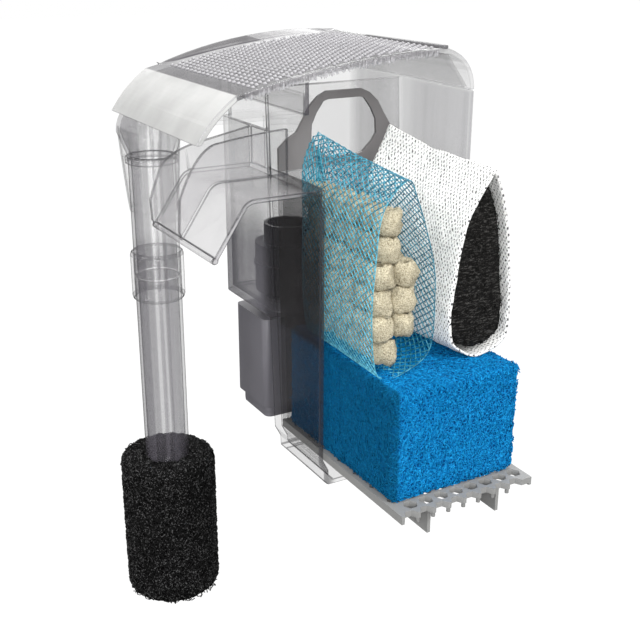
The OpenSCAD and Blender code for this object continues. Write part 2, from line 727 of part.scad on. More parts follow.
// Laminated core: two poles round the well, joined by a limb that carries the coil
module stator_core() {
    color([0.36, 0.37, 0.39]) translate([-intake_x, motor_y, core_top - core_h]) difference() {
        translate([-inside_w / 2, -18, 0]) cube([inside_w, 18 + yoke_y, core_h]);
        translate([0, 0, -1]) cylinder(r = well_r + well_t + 0.2, h = core_h + 2);
        translate([-1, -19, -1]) cube([2, 20, core_h + 2]);
        translate([-inside_w / 2 + limb, 13, -1]) cube([inside_w - 2 * limb, yoke_y - 13 - limb, core_h + 2]);
    }
}

module stator_coil() {
    color([0.72, 0.4, 0.16]) translate([-intake_x, motor_y, core_top - core_h]) difference() {
        translate([-inside_w / 2 + limb + 1, 13.8, -coil_t]) cube([inside_w - 2 * limb - 2, yoke_y - 13.8, core_h + 2 * coil_t]);
        translate([-inside_w, yoke_y - limb - 0.2, -0.2]) cube([2 * inside_w, limb + 1, core_h + 0.4]);
    }
}

module motor_seal() {
    color([0.12, 0.12, 0.12]) translate([-intake_x, motor_y, -inlet_drop + case_t + 0.4])
        rotate_extrude() translate([spigot_r - 0.5, 0]) circle(0.65, $fn = 24);
}

module cord_gland() {
    color([0.2, 0.2, 0.21]) translate([-intake_x, motor_y + motor_depth / 2, gland_z]) rotate([-90, 0, 0])
        difference() {
            union() {
                translate([0, 0, -motor_t]) cylinder(r = gland_r - 1.6, h = motor_t + 1);
                cylinder(r = gland_r, h = 3);
                translate([0, 0, 3]) cylinder(r = gland_r - 1, h = 6);
            }
            translate([0, 0, -motor_t - 1]) cylinder(r = gland_bore_r, h = motor_t + 12);
        }
}

// ---------------------------------------------------------------- impeller
vane_foot = inlet_floor + 5;
vane_h = 9;
hub_r = 4.5;
cover_boss_z = vane_foot + vane_h + 4;

module impeller_cover() {
    color([0.13, 0.13, 0.15]) translate([-intake_x, motor_y, 0]) difference() {
        union() {
            translate([0, 0, inlet_floor]) cylinder(r = cover_r, h = cover_top - inlet_floor);
            translate([0, 0, cover_top - 14]) cylinder(r = cover_r + 1, h = 2);
            translate([0, 0, cover_top]) cylinder(r = leg_r + 2.4, h = 12);
        }
        translate([0, 0, inlet_floor - 1]) cylinder(r = cover_r - 2, h = cover_top - inlet_floor - 1);
        translate([0, 0, cover_top - 4]) cylinder(r = leg_r - 2, h = 8);
        translate([0, 0, leg_foot - seat_gap]) cylinder(r = leg_r + seat_gap, h = 20);
        // outlet towards the media chamber
        translate([cover_r - 6, -port_w / 2, inlet_floor + 1]) cube([12, port_w, port_h]);
    }
    // spider that carries the upper bush
    color([0.13, 0.13, 0.15]) translate([-intake_x, motor_y, cover_boss_z]) {
        tube(bush_r + 1.6, 1.6, 5);
        for (a = [90, 210, 330]) rotate([0, 0, a])
            translate([bush_r + 0.8, -1, 0]) cube([cover_r - 2 - bush_r, 2, 5]);
    }
}
bush_r = 3.4;

module impeller_shaft() {
    color([0.95, 0.95, 0.93]) translate([-intake_x, motor_y, shaft_foot])
        cylinder(r = shaft_r, h = cover_boss_z + 4 - shaft_foot);
}

module lower_bush() {
    color([0.1, 0.1, 0.1]) translate([-intake_x, motor_y, well_foot]) difference() {
        cylinder(r = well_r - 0.02, h = 3.5);
        translate([0, 0, 1]) cylinder(r = shaft_r + 0.01, h = 5);
    }
}

module upper_bush() {
    color([0.1, 0.1, 0.1]) translate([-intake_x, motor_y, cover_boss_z]) difference() {
        cylinder(r = bush_r - 0.01, h = 5);
        translate([0, 0, -1]) cylinder(r = shaft_r + running, h = 7);
    }
}

module rotor_magnet() {
    color([0.22, 0.22, 0.24]) translate([-intake_x, motor_y, rotor_foot])
        tube(rotor_r, rotor_r - shaft_r - running, rotor_len);
}

module impeller() {
    color([0.85, 0.85, 0.82]) translate([-intake_x, motor_y, 0]) {
        translate([0, 0, rotor_top]) tube(hub_r, hub_r - shaft_r - running, vane_foot + vane_h - rotor_top);
        difference() {
            for (a = [0:blade_count - 1]) rotate([0, 0, a * 360 / blade_count])
                translate([hub_r - 0.5, -0.8, vane_foot]) cube([impeller_r - hub_r + 0.5, 1.6, vane_h]);
            translate([0, 0, vane_foot - 1]) cylinder(r = hub_r - 1, h = vane_h + 2);
        }
        translate([0, 0, vane_foot - 1.2]) tube(impeller_r, impeller_r - hub_r + 0.5, 1.4);
    }
}

filter_case();
lid();
basket();
basket_grid();
foam_block();
net_bag();
ceramic_rings();
carbon_bag();
carbon_fill();
intake_u_tube();
inner_leg();
intake_collar();
coupler_sleeve();
extension_tube();
intake_strainer();
prefilter_sponge();
impeller_cover();
motor_housing();
motor_base();
base_screws();
stator_core();
stator_coil();
motor_seal();
cord_gland();
impeller_shaft();
lower_bush();
upper_bush();
rotor_magnet();
impeller();
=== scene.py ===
"""Sectioned hang-on power filter: its looks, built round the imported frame.

Every place is in the frame's axes: +Z up, -Y towards the tank and +X towards the open end.
Sizes are written in millimetres and turned into metres where a mesh or a node takes them.
"""

from __future__ import annotations

import bisect
import json
import logging
import math
import random
from dataclasses import dataclass
from enum import Enum
from functools import cached_property
from typing import Any, Callable, Iterable, Mapping, Sequence

import bmesh
import bpy
from mathutils import Matrix, Vector, noise

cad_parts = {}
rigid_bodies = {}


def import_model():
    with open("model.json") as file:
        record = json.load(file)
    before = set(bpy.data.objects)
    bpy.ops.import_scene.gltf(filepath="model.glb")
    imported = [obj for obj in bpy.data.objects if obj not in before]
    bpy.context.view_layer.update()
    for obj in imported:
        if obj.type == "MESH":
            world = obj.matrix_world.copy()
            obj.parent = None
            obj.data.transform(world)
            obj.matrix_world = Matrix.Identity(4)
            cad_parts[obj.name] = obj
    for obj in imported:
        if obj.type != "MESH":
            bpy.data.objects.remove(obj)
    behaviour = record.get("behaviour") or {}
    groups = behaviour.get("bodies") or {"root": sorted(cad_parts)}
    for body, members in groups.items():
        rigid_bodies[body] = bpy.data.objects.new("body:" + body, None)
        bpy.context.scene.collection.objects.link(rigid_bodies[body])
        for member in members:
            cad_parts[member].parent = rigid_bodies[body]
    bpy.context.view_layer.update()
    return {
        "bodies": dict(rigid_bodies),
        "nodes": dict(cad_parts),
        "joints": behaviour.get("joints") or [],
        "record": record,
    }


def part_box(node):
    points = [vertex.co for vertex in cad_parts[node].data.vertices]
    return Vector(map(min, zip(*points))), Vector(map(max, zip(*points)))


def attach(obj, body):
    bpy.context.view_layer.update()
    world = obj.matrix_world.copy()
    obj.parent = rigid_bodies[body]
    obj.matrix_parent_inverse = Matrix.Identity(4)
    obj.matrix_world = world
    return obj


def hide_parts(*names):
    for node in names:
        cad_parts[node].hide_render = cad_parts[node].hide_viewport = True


LOG = logging.getLogger("filter")
MM = 0.001
FULL_TURN = 2 * math.pi
Point = tuple[float, float]
Place = tuple[float, float, float]
Colour = tuple[float, float, float]

INTAKE_AXIS: Point = (-56.0, -36.0)  # X and Y of the intake tube's middle
CUT_PLANE = 41.0  # X of the plane that the case and the lid end on
LID_TOP: tuple[Point, Point, Point] = ((-28, 54), (33, 69.25), (94, 70.5))  # Y and Z of its bow


class Body(Enum):
    """The bodies of the frame that pieces ride on."""

    LID = "lid_body"
    BASKET = "media_basket"
    INTAKE = "intake_body"
    EXTENSION = "extension_body"
    SPONGE = "sponge_body"


# ---------------------------------------------------------------- node trees


def operator(kind: str, swapped: bool = False) -> Callable[[Wire, Wire | float], Wire]:
    """An arithmetic operator for Wire.

    Args:
        kind: The Math node's operation.
        swapped: Whether the other value comes first.

    Returns:
        The method.
    """

    def apply(self: Wire, other: Wire | float) -> Wire:
        """The node's result."""
        return self.graph.math(kind, *((other, self) if swapped else (self, other)))

    return apply


class Wire:
    """A socket of a node tree that sums can be written on."""

    __add__ = __radd__ = operator("ADD")
    __sub__ = operator("SUBTRACT")
    __rsub__ = operator("SUBTRACT", swapped=True)
    __mul__ = __rmul__ = operator("MULTIPLY")
    __pow__ = operator("POWER")

    def __init__(self, graph: Graph, socket: bpy.types.NodeSocket) -> None:
        """Wraps an output socket of a graph."""
        self.graph = graph
        self.socket = socket

    def clamped(self) -> Wire:
        """The value held between 0 and 1."""
        return self.graph.out(self.graph.add("ShaderNodeClamp", inputs={"Value": self}), "Result")

    def over(self, low: float, high: float) -> Wire:
        """A smooth step.

        Args:
            low: The value where the step starts.
            high: The value where the step ends.

        Returns:
            0 at low and 1 at high.
        """
        values = {"Value": self, "From Min": low, "From Max": high}
        step = self.graph.add("ShaderNodeMapRange", {"interpolation_type": "SMOOTHSTEP"}, values)
        return self.graph.out(step, "Result")

    def under(self, low: float, high: float) -> Wire:
        """A smooth step from 1 at low to 0 at high."""
        return 1 - self.over(low, high)

    def within(self, rise: Point, fall: Point) -> Wire:
        """1 between two smooth steps and 0 outside them."""
        return self.over(*rise) * self.under(*fall)


Feed = Wire | float | Sequence[float]


class Graph:
    """The node tree of one material or world."""

    def __init__(self, name: str, kind: str = "materials") -> None:
        """Starts an empty tree.

        Args:
            name: The name of its material or world.
            kind: The collection that this is made in.
        """
        self.block = getattr(bpy.data, kind).new(name)
        self.block.use_nodes = True
        self.tree = self.block.node_tree
        self.tree.nodes.clear()

    @cached_property
    def here(self) -> Wire:
        """The place on the piece, in metres."""
        return self.out(self.add("ShaderNodeTexCoord"), "Object")

    def add(
        self,
        kind: str,
        settings: Mapping[str, Any] | None = None,
        inputs: Mapping[Any, Feed] | None = None,
    ) -> bpy.types.Node:
        """Adds a node.

        Args:
            kind: The node's type.
            settings: Its settings, set first.
            inputs: Values or links of its sockets, by name or number.

        Returns:
            The node.
        """
        node = self.tree.nodes.new(kind)
        for key, value in (settings or {}).items():
            setattr(node, key, value)
        for key, value in (inputs or {}).items():
            socket = node.inputs[key]
            if isinstance(value, Wire):
                self.tree.links.new(value.socket, socket)
            elif isinstance(value, (int, float)):
                socket.default_value = value
            else:
                size = len(socket.default_value)
                socket.default_value = (*value, 1)[:size] if size == 4 else value
        return node

    def out(self, node: bpy.types.Node, name: str | int = 0) -> Wire:
        """One output of a node."""
        return Wire(self, node.outputs[name])

    def math(self, operation: str, *values: Feed) -> Wire:
        """The result of a Math node."""
        return self.out(self.add("ShaderNodeMath", {"operation": operation}, dict(enumerate(values))))

    def axis(self, name: str) -> Wire:
        """One coordinate of the place on the piece, in millimetres."""
        split = self.add("ShaderNodeSeparateXYZ", inputs={0: self.here})
        return self.out(split, name.upper()) * (1 / MM)

    def stretched(self, scale: Sequence[float]) -> Wire:
        """The place on the piece, scaled along each axis."""
        return self.out(self.add("ShaderNodeMapping", inputs={"Vector": self.here, "Scale": scale}))

    def noise(
        self, scale: float, detail: float = 3, rough: float = 0.55, at: Wire | None = None
    ) -> Wire:
        """Noise over the piece.

        Args:
            scale: Features in a metre.
            detail: Octaves.
            rough: How strong the fine octaves are.
            at: The place, unless it is the piece's own.

        Returns:
            The value, about 0.5.
        """
        values = {"Vector": at or self.here, "Scale": scale, "Detail": detail, "Roughness": rough}
        return self.out(self.add("ShaderNodeTexNoise", inputs=values))

    def cells(self, scale: float, feature: str = "F1") -> Wire:
        """The distance in a pattern with that many cells in a metre."""
        values = {"Vector": self.here, "Scale": scale}
        return self.out(self.add("ShaderNodeTexVoronoi", {"feature": feature}, values), "Distance")

    def blend(self, share: Feed, first: Feed, second: Feed) -> Wire:
        """Two colours mixed: a share of 0 gives the first and 1 the second."""
        values = {"Factor": share, 6: first, 7: second}  # 6 and 7 are the node's colour sockets
        return self.out(self.add("ShaderNodeMix", {"data_type": "RGBA"}, values), 2)

    def bump(self, height: Wire, depth: float, strength: float = 1.0) -> Wire:
        """A normal bumped by a height from 0 to 1, which stands for a depth in millimetres."""
        values = {"Height": height, "Distance": depth * MM, "Strength": strength}
        return self.out(self.add("ShaderNodeBump", inputs=values))

    def facing(self) -> Wire:
        """0 where the surface faces the eye and 1 at its edge."""
        return self.out(self.add("ShaderNodeLayerWeight", inputs={"Blend": 0.5}), "Facing")

    def mixed(self, share: Wire, first: bpy.types.Node, second: bpy.types.Node) -> bpy.types.Node:
        """Two shaders mixed: a share of 0 gives the first and 1 the second."""
        values = {0: share, 1: self.out(first), 2: self.out(second)}
        return self.add("ShaderNodeMixShader", inputs=values)

    def finish(self, gloss: Wire | None = None, **values: Feed) -> None:
        """Ends the material in one Principled shader.

        Args:
            gloss: The share of plain reflection laid over it.
            values: Its sockets, with underscores for spaces.
        """
        inputs = {key.replace("_", " "): value for key, value in values.items()}
        shader = self.add("ShaderNodeBsdfPrincipled", inputs=inputs)
        if gloss is not None:
            bare = {"Color": (1, 1, 1), "Roughness": 0.04, "Normal": values["Normal"]}
            shader = self.mixed(gloss, shader, self.add("ShaderNodeBsdfGlossy", inputs=bare))
        self.add("ShaderNodeOutputMaterial", inputs={"Surface": self.out(shader)})


# ---------------------------------------------------------------- finishes


def shade(colour: Colour, factor: float) -> Colour:
    """A colour made darker or lighter."""
    return tuple(factor * part for part in colour)


@dataclass(frozen=True)
class Finish:
    """What a piece is made of."""

    name: str
    colour: Colour

    def draw(self, graph: Graph) -> None:
        """Draws the material's nodes."""
        raise NotImplementedError

    def made(self) -> bpy.types.Material:
        """Makes the material once.

        Returns:
            The material.
        """
        if self.name not in bpy.data.materials:
            self.draw(Graph(self.name))
        return bpy.data.materials[self.name]


@dataclass(frozen=True)
class ClearPlastic(Finish):
    """Clear or smoked moulded plastic, denser where the eye grazes it."""

    face: float = 0.12
    edge: float = 0.6
    power: float = 2.5
    roughness: float = 0.1
    flow: float = 0.1
    shine: float = 0.35

    def shades(self, graph: Graph) -> tuple[Feed, Feed]:
        """The colour, and the share that is hidden where the plastic faces the eye."""
        return self.colour, self.face

    def draw(self, graph: Graph) -> None:
        """Draws the material's nodes.

        Args:
            graph: The tree.
        """
        colour, face = self.shades(graph)
        rim = graph.facing() ** self.power
        streak = graph.noise(40, 3, 0.55, graph.stretched((1, 1, 0.12))) - 0.5
        cover = (rim * self.edge + face) * (streak * 0.7 + 1)
        graph.finish(
            (graph.facing() ** 4.0 * self.shine + 0.008).clamped(),
            Base_Color=colour,
            Roughness=self.roughness,
            Specular_IOR_Level=0.25,
            Alpha=cover.clamped(),
            Normal=graph.bump(graph.noise(45, 2, 0.5, graph.stretched((1, 1, 0.35))), self.flow),
        )


@dataclass(frozen=True)
class CasePlastic(ClearPlastic):
    """The case's clear plastic: light over the spillway, dense round the inlet chamber."""

    dense: Colour = (0.165, 0.16, 0.182)
    pale: Colour = (0.40, 0.39, 0.40)
    back: Colour = (0.16, 0.155, 0.175)

    def shades(self, graph: Graph) -> tuple[Feed, Feed]:
        """The colour and the share that is hidden, zone by zone.

        Args:
            graph: The tree.

        Returns:
            The colour and the share.
        """
        across, depth, height = (graph.axis(name) for name in "xyz")
        inlet = across.under(-30, -16) * height.under(-55, -12) * depth.within((16.5, 17.5), (24, 27))
        spill = depth.under(4, 12)
        rear = depth.over(108, 111)
        cut = across.over(40.2, 40.6) * depth.under(24, 30) * height.under(-12, -2)
        colour = graph.blend(spill, graph.blend(inlet, self.colour, self.dense), self.pale)
        # Painted reflection streaks: vertical bands make the back wall lighter and darker.
        painted_bands = graph.noise(55, 2, 0.5, graph.stretched((1, 1, 0.02))).over(0.4, 0.6) - 0.5
        rear_cover = painted_bands * 0.05 + across.over(-60, 40) * 0.08 + 0.14
        cover = inlet * 0.47 + spill * 0.15 + rear * rear_cover + cut * 0.6
        return graph.blend(rear, colour, self.back), cover + self.face


@dataclass(frozen=True)
class LidPlastic(ClearPlastic):
    """The lid's clear plastic, with its pale lip and the grey step behind it."""

    lip: Colour = (0.60, 0.60, 0.59)
    step: Colour = (0.06, 0.056, 0.065)
    field: Colour = (0.09, 0.086, 0.092)

    def shades(self, graph: Graph) -> tuple[Feed, Feed]:
        """The colour and the share that is hidden, zone by zone.

        Args:
            graph: The tree.

        Returns:
            The colour and the share.
        """
        across, depth, height = (graph.axis(name) for name in "xyz")
        (front, low), (_, pull), (rear, high) = LID_TOP
        share = (depth - front) * (1 / (rear - front))
        rest = 1 - share
        above = height - (rest * rest * low + share * rest * (2 * pull) + share * share * high)
        lip = depth.under(-28.5, -27.5)
        top = 1 - lip
        skin = top * above.over(-4.2, -3.6) * depth.under(92, 96) * across.over(-78.6, -77.8)
        band = top * above.over(0.2, 0.6) * across.under(-62, -60)
        foot = above.under(0.7, 1.0) * band
        step = skin * depth.under(-20, -10) * (1 - across.over(-15, 30) * 0.6)
        rib_end = across.over(40.2, 40.6) * depth.within((8.0, 8.4), (11.6, 12.0))
        rib_end = rib_end * height.under(57.5, 58.0)
        colour = graph.blend((skin + band).clamped(), self.colour, self.field)
        colour = graph.blend((step + foot + rib_end).clamped(), colour, self.step)
        lip_colour = graph.blend(height.over(34, 50), shade(self.lip, 0.8), self.lip)
        cover = lip * 0.62 + skin * 0.22 + step * 0.32 + band * 0.46 + foot * 0.2 + rib_end * 0.6
        cover = cover + depth.over(86, 92) * 0.03
        return graph.blend(lip, colour, lip_colour), cover + self.face


@dataclass(frozen=True)
class EdgePlastic(ClearPlastic):
    """The softened edges of case and lid: dark at the spillway, pale on the lip, faint behind."""

    pale: Colour = (0.5, 0.5, 0.5)

    def shades(self, graph: Graph) -> tuple[Feed, Feed]:
        """The colour and the share that is hidden, zone by zone.

        Args:
            graph: The tree.

        Returns:
            The colour and the share.
        """
        depth, height = graph.axis("y"), graph.axis("z")
        rear = depth.over(30, 85)
        lip = depth.under(-29, -27) * height.over(30.5, 31.0)
        top = height.over(50, 54) * (1 - rear) * (1 - lip)
        colour = graph.blend((rear * 0.5 + lip + top * 0.5).clamped(), self.colour, self.pale)
        return colour, self.face - rear * 0.36 - lip * 0.12 - top * 0.36


@dataclass(frozen=True)
class BasketPlastic(ClearPlastic):
    """The basket's smoked plastic, which turns to plain grey above its rim."""

    grey: Colour = (0.185, 0.176, 0.176)

    def shades(self, graph: Graph) -> tuple[Feed, Feed]:
        """The colour and the share that is hidden, by height.

        Args:
            graph: The tree.

        Returns:
            The colour and the share.
        """
        height = graph.axis("z")
        above = height.over(0.8, 2.4)
        wall = height.over(-93, -86) * (1 - height.over(-60, -4) * 0.75)
        return graph.blend(above, self.colour, self.grey), above * 0.6 + wall * 0.34 + self.face


@dataclass(frozen=True)
class TubePlastic(ClearPlastic):
    """Clear tube with bands of painted shade: light along its middle, dense beside it and clearest
    inside the case.

    The slope leads from -1 at the tube's left to 1 at its right, as the main camera sees it.
    """

    painted_bands: float = 0.2
    slope: Point = (0.0369, 0.0642)

    def draw(self, graph: Graph) -> None:
        """Draws the material's nodes.

        Args:
            graph: The tree.
        """
        facing = graph.facing()
        rim = facing.over(0.66, 0.90)
        streak = graph.noise(260, 3, 0.6, graph.stretched((1, 1, 0.02)))
        depth = graph.axis("y")
        across = (graph.axis("x") - INTAKE_AXIS[0]) * self.slope[0]
        across = across + (depth - INTAKE_AXIS[1]) * self.slope[1] + (streak - 0.5) * 0.12
        # Painted shade: dark bands fixed round the tube stand in for how it bends the light.
        left = across.under(-0.40, -0.30)
        middle = across.within((0.08, 0.16), (0.22, 0.30))
        right = across.within((0.46, 0.54), (0.66, 0.76)) + across.over(0.16, 0.24) * 0.4
        cover = (left + middle + right * 0.6) * self.painted_bands + rim * self.edge
        lower = 1 - graph.axis("z").over(-50, -35) * 0.6
        cover = cover + (streak - 0.5) * 0.16 + lower * self.face
        outside = 1 - depth.over(-20, -8) * 0.8
        graph.finish(
            (facing ** 5.0 * 0.25 + 0.01).clamped(),
            Base_Color=graph.blend(rim, self.colour, shade(self.colour, 0.4)),
            Roughness=streak * 0.1 + self.roughness,
            Specular_IOR_Level=0.25,
            Alpha=(cover * outside).clamped(),
            Normal=graph.bump(streak, self.flow),
        )


@dataclass(frozen=True)
class MouldedPlastic(Finish):
    """Opaque moulded plastic with a fine grain, and painted shade towards +X where a start is given.
    """

    roughness: float = 0.4
    cover: float = 1.0
    painted_shade_from_x: float | None = None

    def draw(self, graph: Graph) -> None:
        """Draws the material's nodes.

        Args:
            graph: The tree.
        """
        cloud = graph.noise(40, 4)
        base = graph.blend(cloud, shade(self.colour, 0.82), self.colour)
        # Painted shade on the side towards +X.
        if self.painted_shade_from_x is not None:
            side = graph.axis("x").over(self.painted_shade_from_x - 0.6, self.painted_shade_from_x)
            base = graph.blend(side, base, shade(self.colour, 0.4))
        graph.finish(
            Base_Color=base,
            Roughness=cloud * 0.12 + self.roughness,
            Alpha=self.cover,
            Normal=graph.bump(graph.noise(2600, 2), 0.04),
        )


@dataclass(frozen=True)
class FoamFinish(Finish):
    """Foam or fibre pad: painted shade deep in the pores between its strands, and bright on them."""

    deep: Colour
    raised: bool = False
    painted_shade_on_tank_side: float = 0.0
    glint: float = 0.05
    painted_glint_and_tone_from: Point = (0.35, 0.65)
    speck: float = 700
    cell: float = 1.9

    def draw(self, graph: Graph) -> None:
        """Draws the material's nodes.

        Args:
            graph: The tree.
        """
        # The pores between the strands take the deep colour: painted shade in the recesses.
        pores = graph.cells(1 / (self.cell * MM), "DISTANCE_TO_EDGE")
        strand = pores.under(0.02, 0.22) * (graph.noise(300, 3) * 0.7 + 0.55)
        # On raised fibres, specks of full colour over the deep colour: painted glints on the sponge,
        # and tone that differs at random on the blue foam.
        share = graph.noise(self.speck, 2).over(*self.painted_glint_and_tone_from) if self.raised else strand.clamped()
        bright = tuple(min(1.0, 1.25 * part + 0.01) for part in self.colour)
        base = graph.blend(share, self.deep, graph.blend(graph.noise(90, 3), self.colour, bright))
        # Painted shade: the side that faces the tank is darkened.
        if self.painted_shade_on_tank_side:
            shaded_tank_side = graph.axis("y").under(26.2, 28.5)
            base = graph.blend(shaded_tank_side * self.painted_shade_on_tank_side, base, shade(self.colour, 0.35))
        graph.finish(
            Base_Color=base,
            Roughness=0.6,
            Specular_IOR_Level=self.glint,
            Normal=graph.bump(strand, 0.5, 0.8),
        )


@dataclass(frozen=True)
class ThreadFinish(Finish):
    """Twisted plastic thread with painted shade on the far side of the bag, and deeper in colour at
    the top of the bag.
    """

    second: Colour

    def draw(self, graph: Graph) -> None:
        """Draws the material's nodes.

        Args:
            graph: The tree.
        """
        # Painted shade on the far side of the bag; the top is darker too, and the colour varies at
        # random.
        far, top = graph.axis("y").over(32, 52), graph.axis("z").over(-12, 6)
        change = (graph.noise(450, 3).over(0.40, 0.60) * 0.65 + far * 0.6 + top * 0.25).clamped()
        twist = graph.noise(5200, 1)
        graph.finish(
            Base_Color=graph.blend(change, self.colour, self.second),
            Roughness=twist * 0.2 + 0.3,
            Normal=graph.bump(twist, 0.08),
        )


@dataclass(frozen=True)
class PunchedCloth(Finish):
    """White non-woven cloth with rows of short slits, laid out on the piece's own map, and a painted
    glow on its tank side.
    """

    across: float
    along: float
    slit: Colour = (0.025, 0.025, 0.028)
    # The colour of the painted glow.
    lit: Colour = (1.0, 1.0, 0.97)

    def draw(self, graph: Graph) -> None:
        """Draws the material's nodes.

        Args:
            graph: The tree.
        """
        laid = graph.out(graph.add("ShaderNodeUVMap", {"uv_map": "lay"}))
        split = graph.add("ShaderNodeSeparateXYZ", inputs={0: laid})
        wobble = (graph.noise(260, 2) - 0.5) * 1.6
        column = graph.out(split, 0) * self.across + wobble
        row = graph.out(split, 1) * self.along + wobble + graph.math("FLOOR", column) * 0.5
        side, height = (
            graph.math("ABSOLUTE", graph.math("FRACT", place) - 0.5) for place in (column, row)
        )
        slit = side.under(0.27, 0.39) * height.under(0.08, 0.16)
        cut = (slit * graph.noise(420, 1).over(0.22, 0.42)).clamped()
        fibre = graph.noise(2400, 4, 0.7, graph.stretched((1, 1, 0.4)))
        mottled = graph.noise(120, 3) * 0.5 + graph.noise(850, 3).over(0.40, 0.60) * 0.7
        white = graph.blend(mottled.clamped(), shade(self.colour, 0.66), self.colour)
        # Painted light: the cloth glows on its tank side, outside the slits.
        painted_glow_share = (1 - cut) * graph.axis("y").under(66, 90)
        graph.finish(
            Base_Color=graph.blend(cut, white, self.slit),
            Emission_Color=graph.blend(painted_glow_share, (0.0, 0.0, 0.0), self.lit),
            Emission_Strength=0.2,
            Roughness=0.85,
            Sheen_Weight=0.2,
            Normal=graph.bump(fibre - slit * 1.5, 0.35, 0.7),
        )


@dataclass(frozen=True)
class Charcoal(Finish):
    """Activated carbon: black grains with a painted dull glint."""

    # The colour of the painted glints.
    glint: Colour = (0.07, 0.068, 0.065)

    def draw(self, graph: Graph) -> None:
        """Draws the material's nodes.

        Args:
            graph: The tree.
        """
        fine = graph.noise(1800, 5, 0.7)
        # Streaks of the glint colour are painted glints.
        streak = graph.noise(1500, 3, 0.7, graph.stretched((1, 0.22, 1)))
        graph.finish(
            Base_Color=graph.blend(streak.over(0.49, 0.68), self.colour, self.glint),
            Roughness=fine * 0.3 + 0.4,
            Specular_IOR_Level=0.05,
            Normal=graph.bump(fine + graph.cells(900) * 0.6, 0.6, 0.9),
        )


@dataclass(frozen=True)
class SandyCeramic(Finish):
    """Porous sandy ceramic, with painted shade in its pits, and a little darker deep in the bag as
    painted shade.
    """

    # The darker colour: painted shade in pits and deep in the bag, and the sand's real specks.
    painted_shade_and_speck: Colour = (0.20, 0.16, 0.095)

    def draw(self, graph: Graph) -> None:
        """Draws the material's nodes.

        Args:
            graph: The tree.
        """
        sand = graph.noise(1300, 4, 0.8)
        lump = graph.noise(160, 3).over(0.35, 0.65)
        # Pits and the rings deeper in the bag take the darker colour as painted shade; the sand's
        # specks are its own tone.
        pit = graph.cells(1100).over(0.05, 0.4)
        inner = graph.axis("x").under(66, 74)
        deep = ((1 - pit) * 0.5 + sand.over(0.42, 0.6) * 0.6 + inner * 0.2).clamped()
        tone = graph.blend(lump, shade(self.colour, 0.86), self.colour)
        graph.finish(
            Base_Color=graph.blend(deep, tone, self.painted_shade_and_speck),
            Roughness=0.95,
            Specular_IOR_Level=0.1,
            Normal=graph.bump(sand + pit, 0.7, 0.9),
        )


@dataclass(frozen=True)
class MetalFinish(Finish):
    """Bare metal with a drawn or stacked grain."""

    roughness: float = 0.3
    stretch: Place = (1, 1, 1)

    def draw(self, graph: Graph) -> None:
        """Draws the material's nodes.

        Args:
            graph: The tree.
        """
        grain = graph.noise(1500, 3, 0.6, graph.stretched(self.stretch))
        graph.finish(
            Base_Color=graph.blend(grain, shade(self.colour, 0.75), self.colour),
            Metallic=1.0,
            Roughness=grain * 0.2 + self.roughness,
            Normal=graph.bump(grain, 0.05),
        )


# ---------------------------------------------------------------- meshes


def metres(point: Sequence[float]) -> Vector:
    """A place in millimetres as a vector in metres."""
    return Vector(point) * MM


def bow(points: Sequence[Point], count: int) -> list[Point]:
    """A quadratic curve.

    Args:
        points: Its first point, the point that it is drawn towards and its last point.
        count: The number of steps.

    Returns:
        The points.
    """
    made = []
    for step in range(count + 1):
        t = step / count
        shares = (1 - t) ** 2, 2 * t * (1 - t), t * t
        made.append(tuple(sum(s * c for s, c in zip(shares, line)) for line in zip(*points)))
    return made


class Outline:
    """A line of points that is read by its share of the whole length."""

    def __init__(self, points: Sequence[Point], closed: bool = False) -> None:
        """Measures the line.

        Args:
            points: The points in order.
            closed: Whether the last joins the first.
        """
        self.points = [Vector(p) for p in points] + ([Vector(points[0])] if closed else [])
        self.reach = [0.0]
        for a, b in zip(self.points, self.points[1:]):
            self.reach.append(self.reach[-1] + (b - a).length)

    def at(self, share: float) -> Vector:
        """Reads the line.

        Args:
            share: The share of its length.

        Returns:
            The point there.
        """
        target = min(max(share, 0.0), 1.0) * self.reach[-1]
        k = min(max(bisect.bisect_right(self.reach, target) - 1, 0), len(self.points) - 2)
        span = self.reach[k + 1] - self.reach[k] or 1.0
        return self.points[k].lerp(self.points[k + 1], (target - self.reach[k]) / span)


def rounded(points: Sequence[Point], steps: int = 10) -> list[Point]:
    """A closed smooth line through points.

    Args:
        points: The points in order.
        steps: How many parts each stretch gets.

    Returns:
        The finer points.
    """
    made, count = [], len(points)
    for k in range(count):
        a, b, c, d = (Vector(points[(k + i - 1) % count]) for i in range(4))
        for step in range(steps):
            t = step / steps
            square, cube = 2 * a - 5 * b + 4 * c - d, 3 * b - a - 3 * c + d
            made.append(tuple(0.5 * (2 * b + (c - a) * t + square * t * t + cube * t**3)))
    return made


def laid_grid(
    columns: int, rows: int, place: Callable[[float, float], Vector]
) -> bmesh.types.BMesh:
    """A closed sleeve laid on a surface, with its layout kept as the map "lay".

    Args:
        columns: Cells round it.
        rows: Cells along it.
        place: The point, in metres, at a share of each direction.

    Returns:
        The mesh.
    """
    shape = bmesh.new()
    lay = shape.loops.layers.uv.new("lay")
    bmesh.ops.create_grid(shape, x_segments=columns, y_segments=rows, size=0.5)
    for face in shape.faces:
        for loop in face.loops:
            loop[lay].uv = (loop.vert.co.x + 0.5, loop.vert.co.y + 0.5)
    for vert in shape.verts:
        vert.co = place(vert.co.x + 0.5, vert.co.y + 0.5)
    bmesh.ops.remove_doubles(shape, verts=shape.verts, dist=1e-6)
    return shape


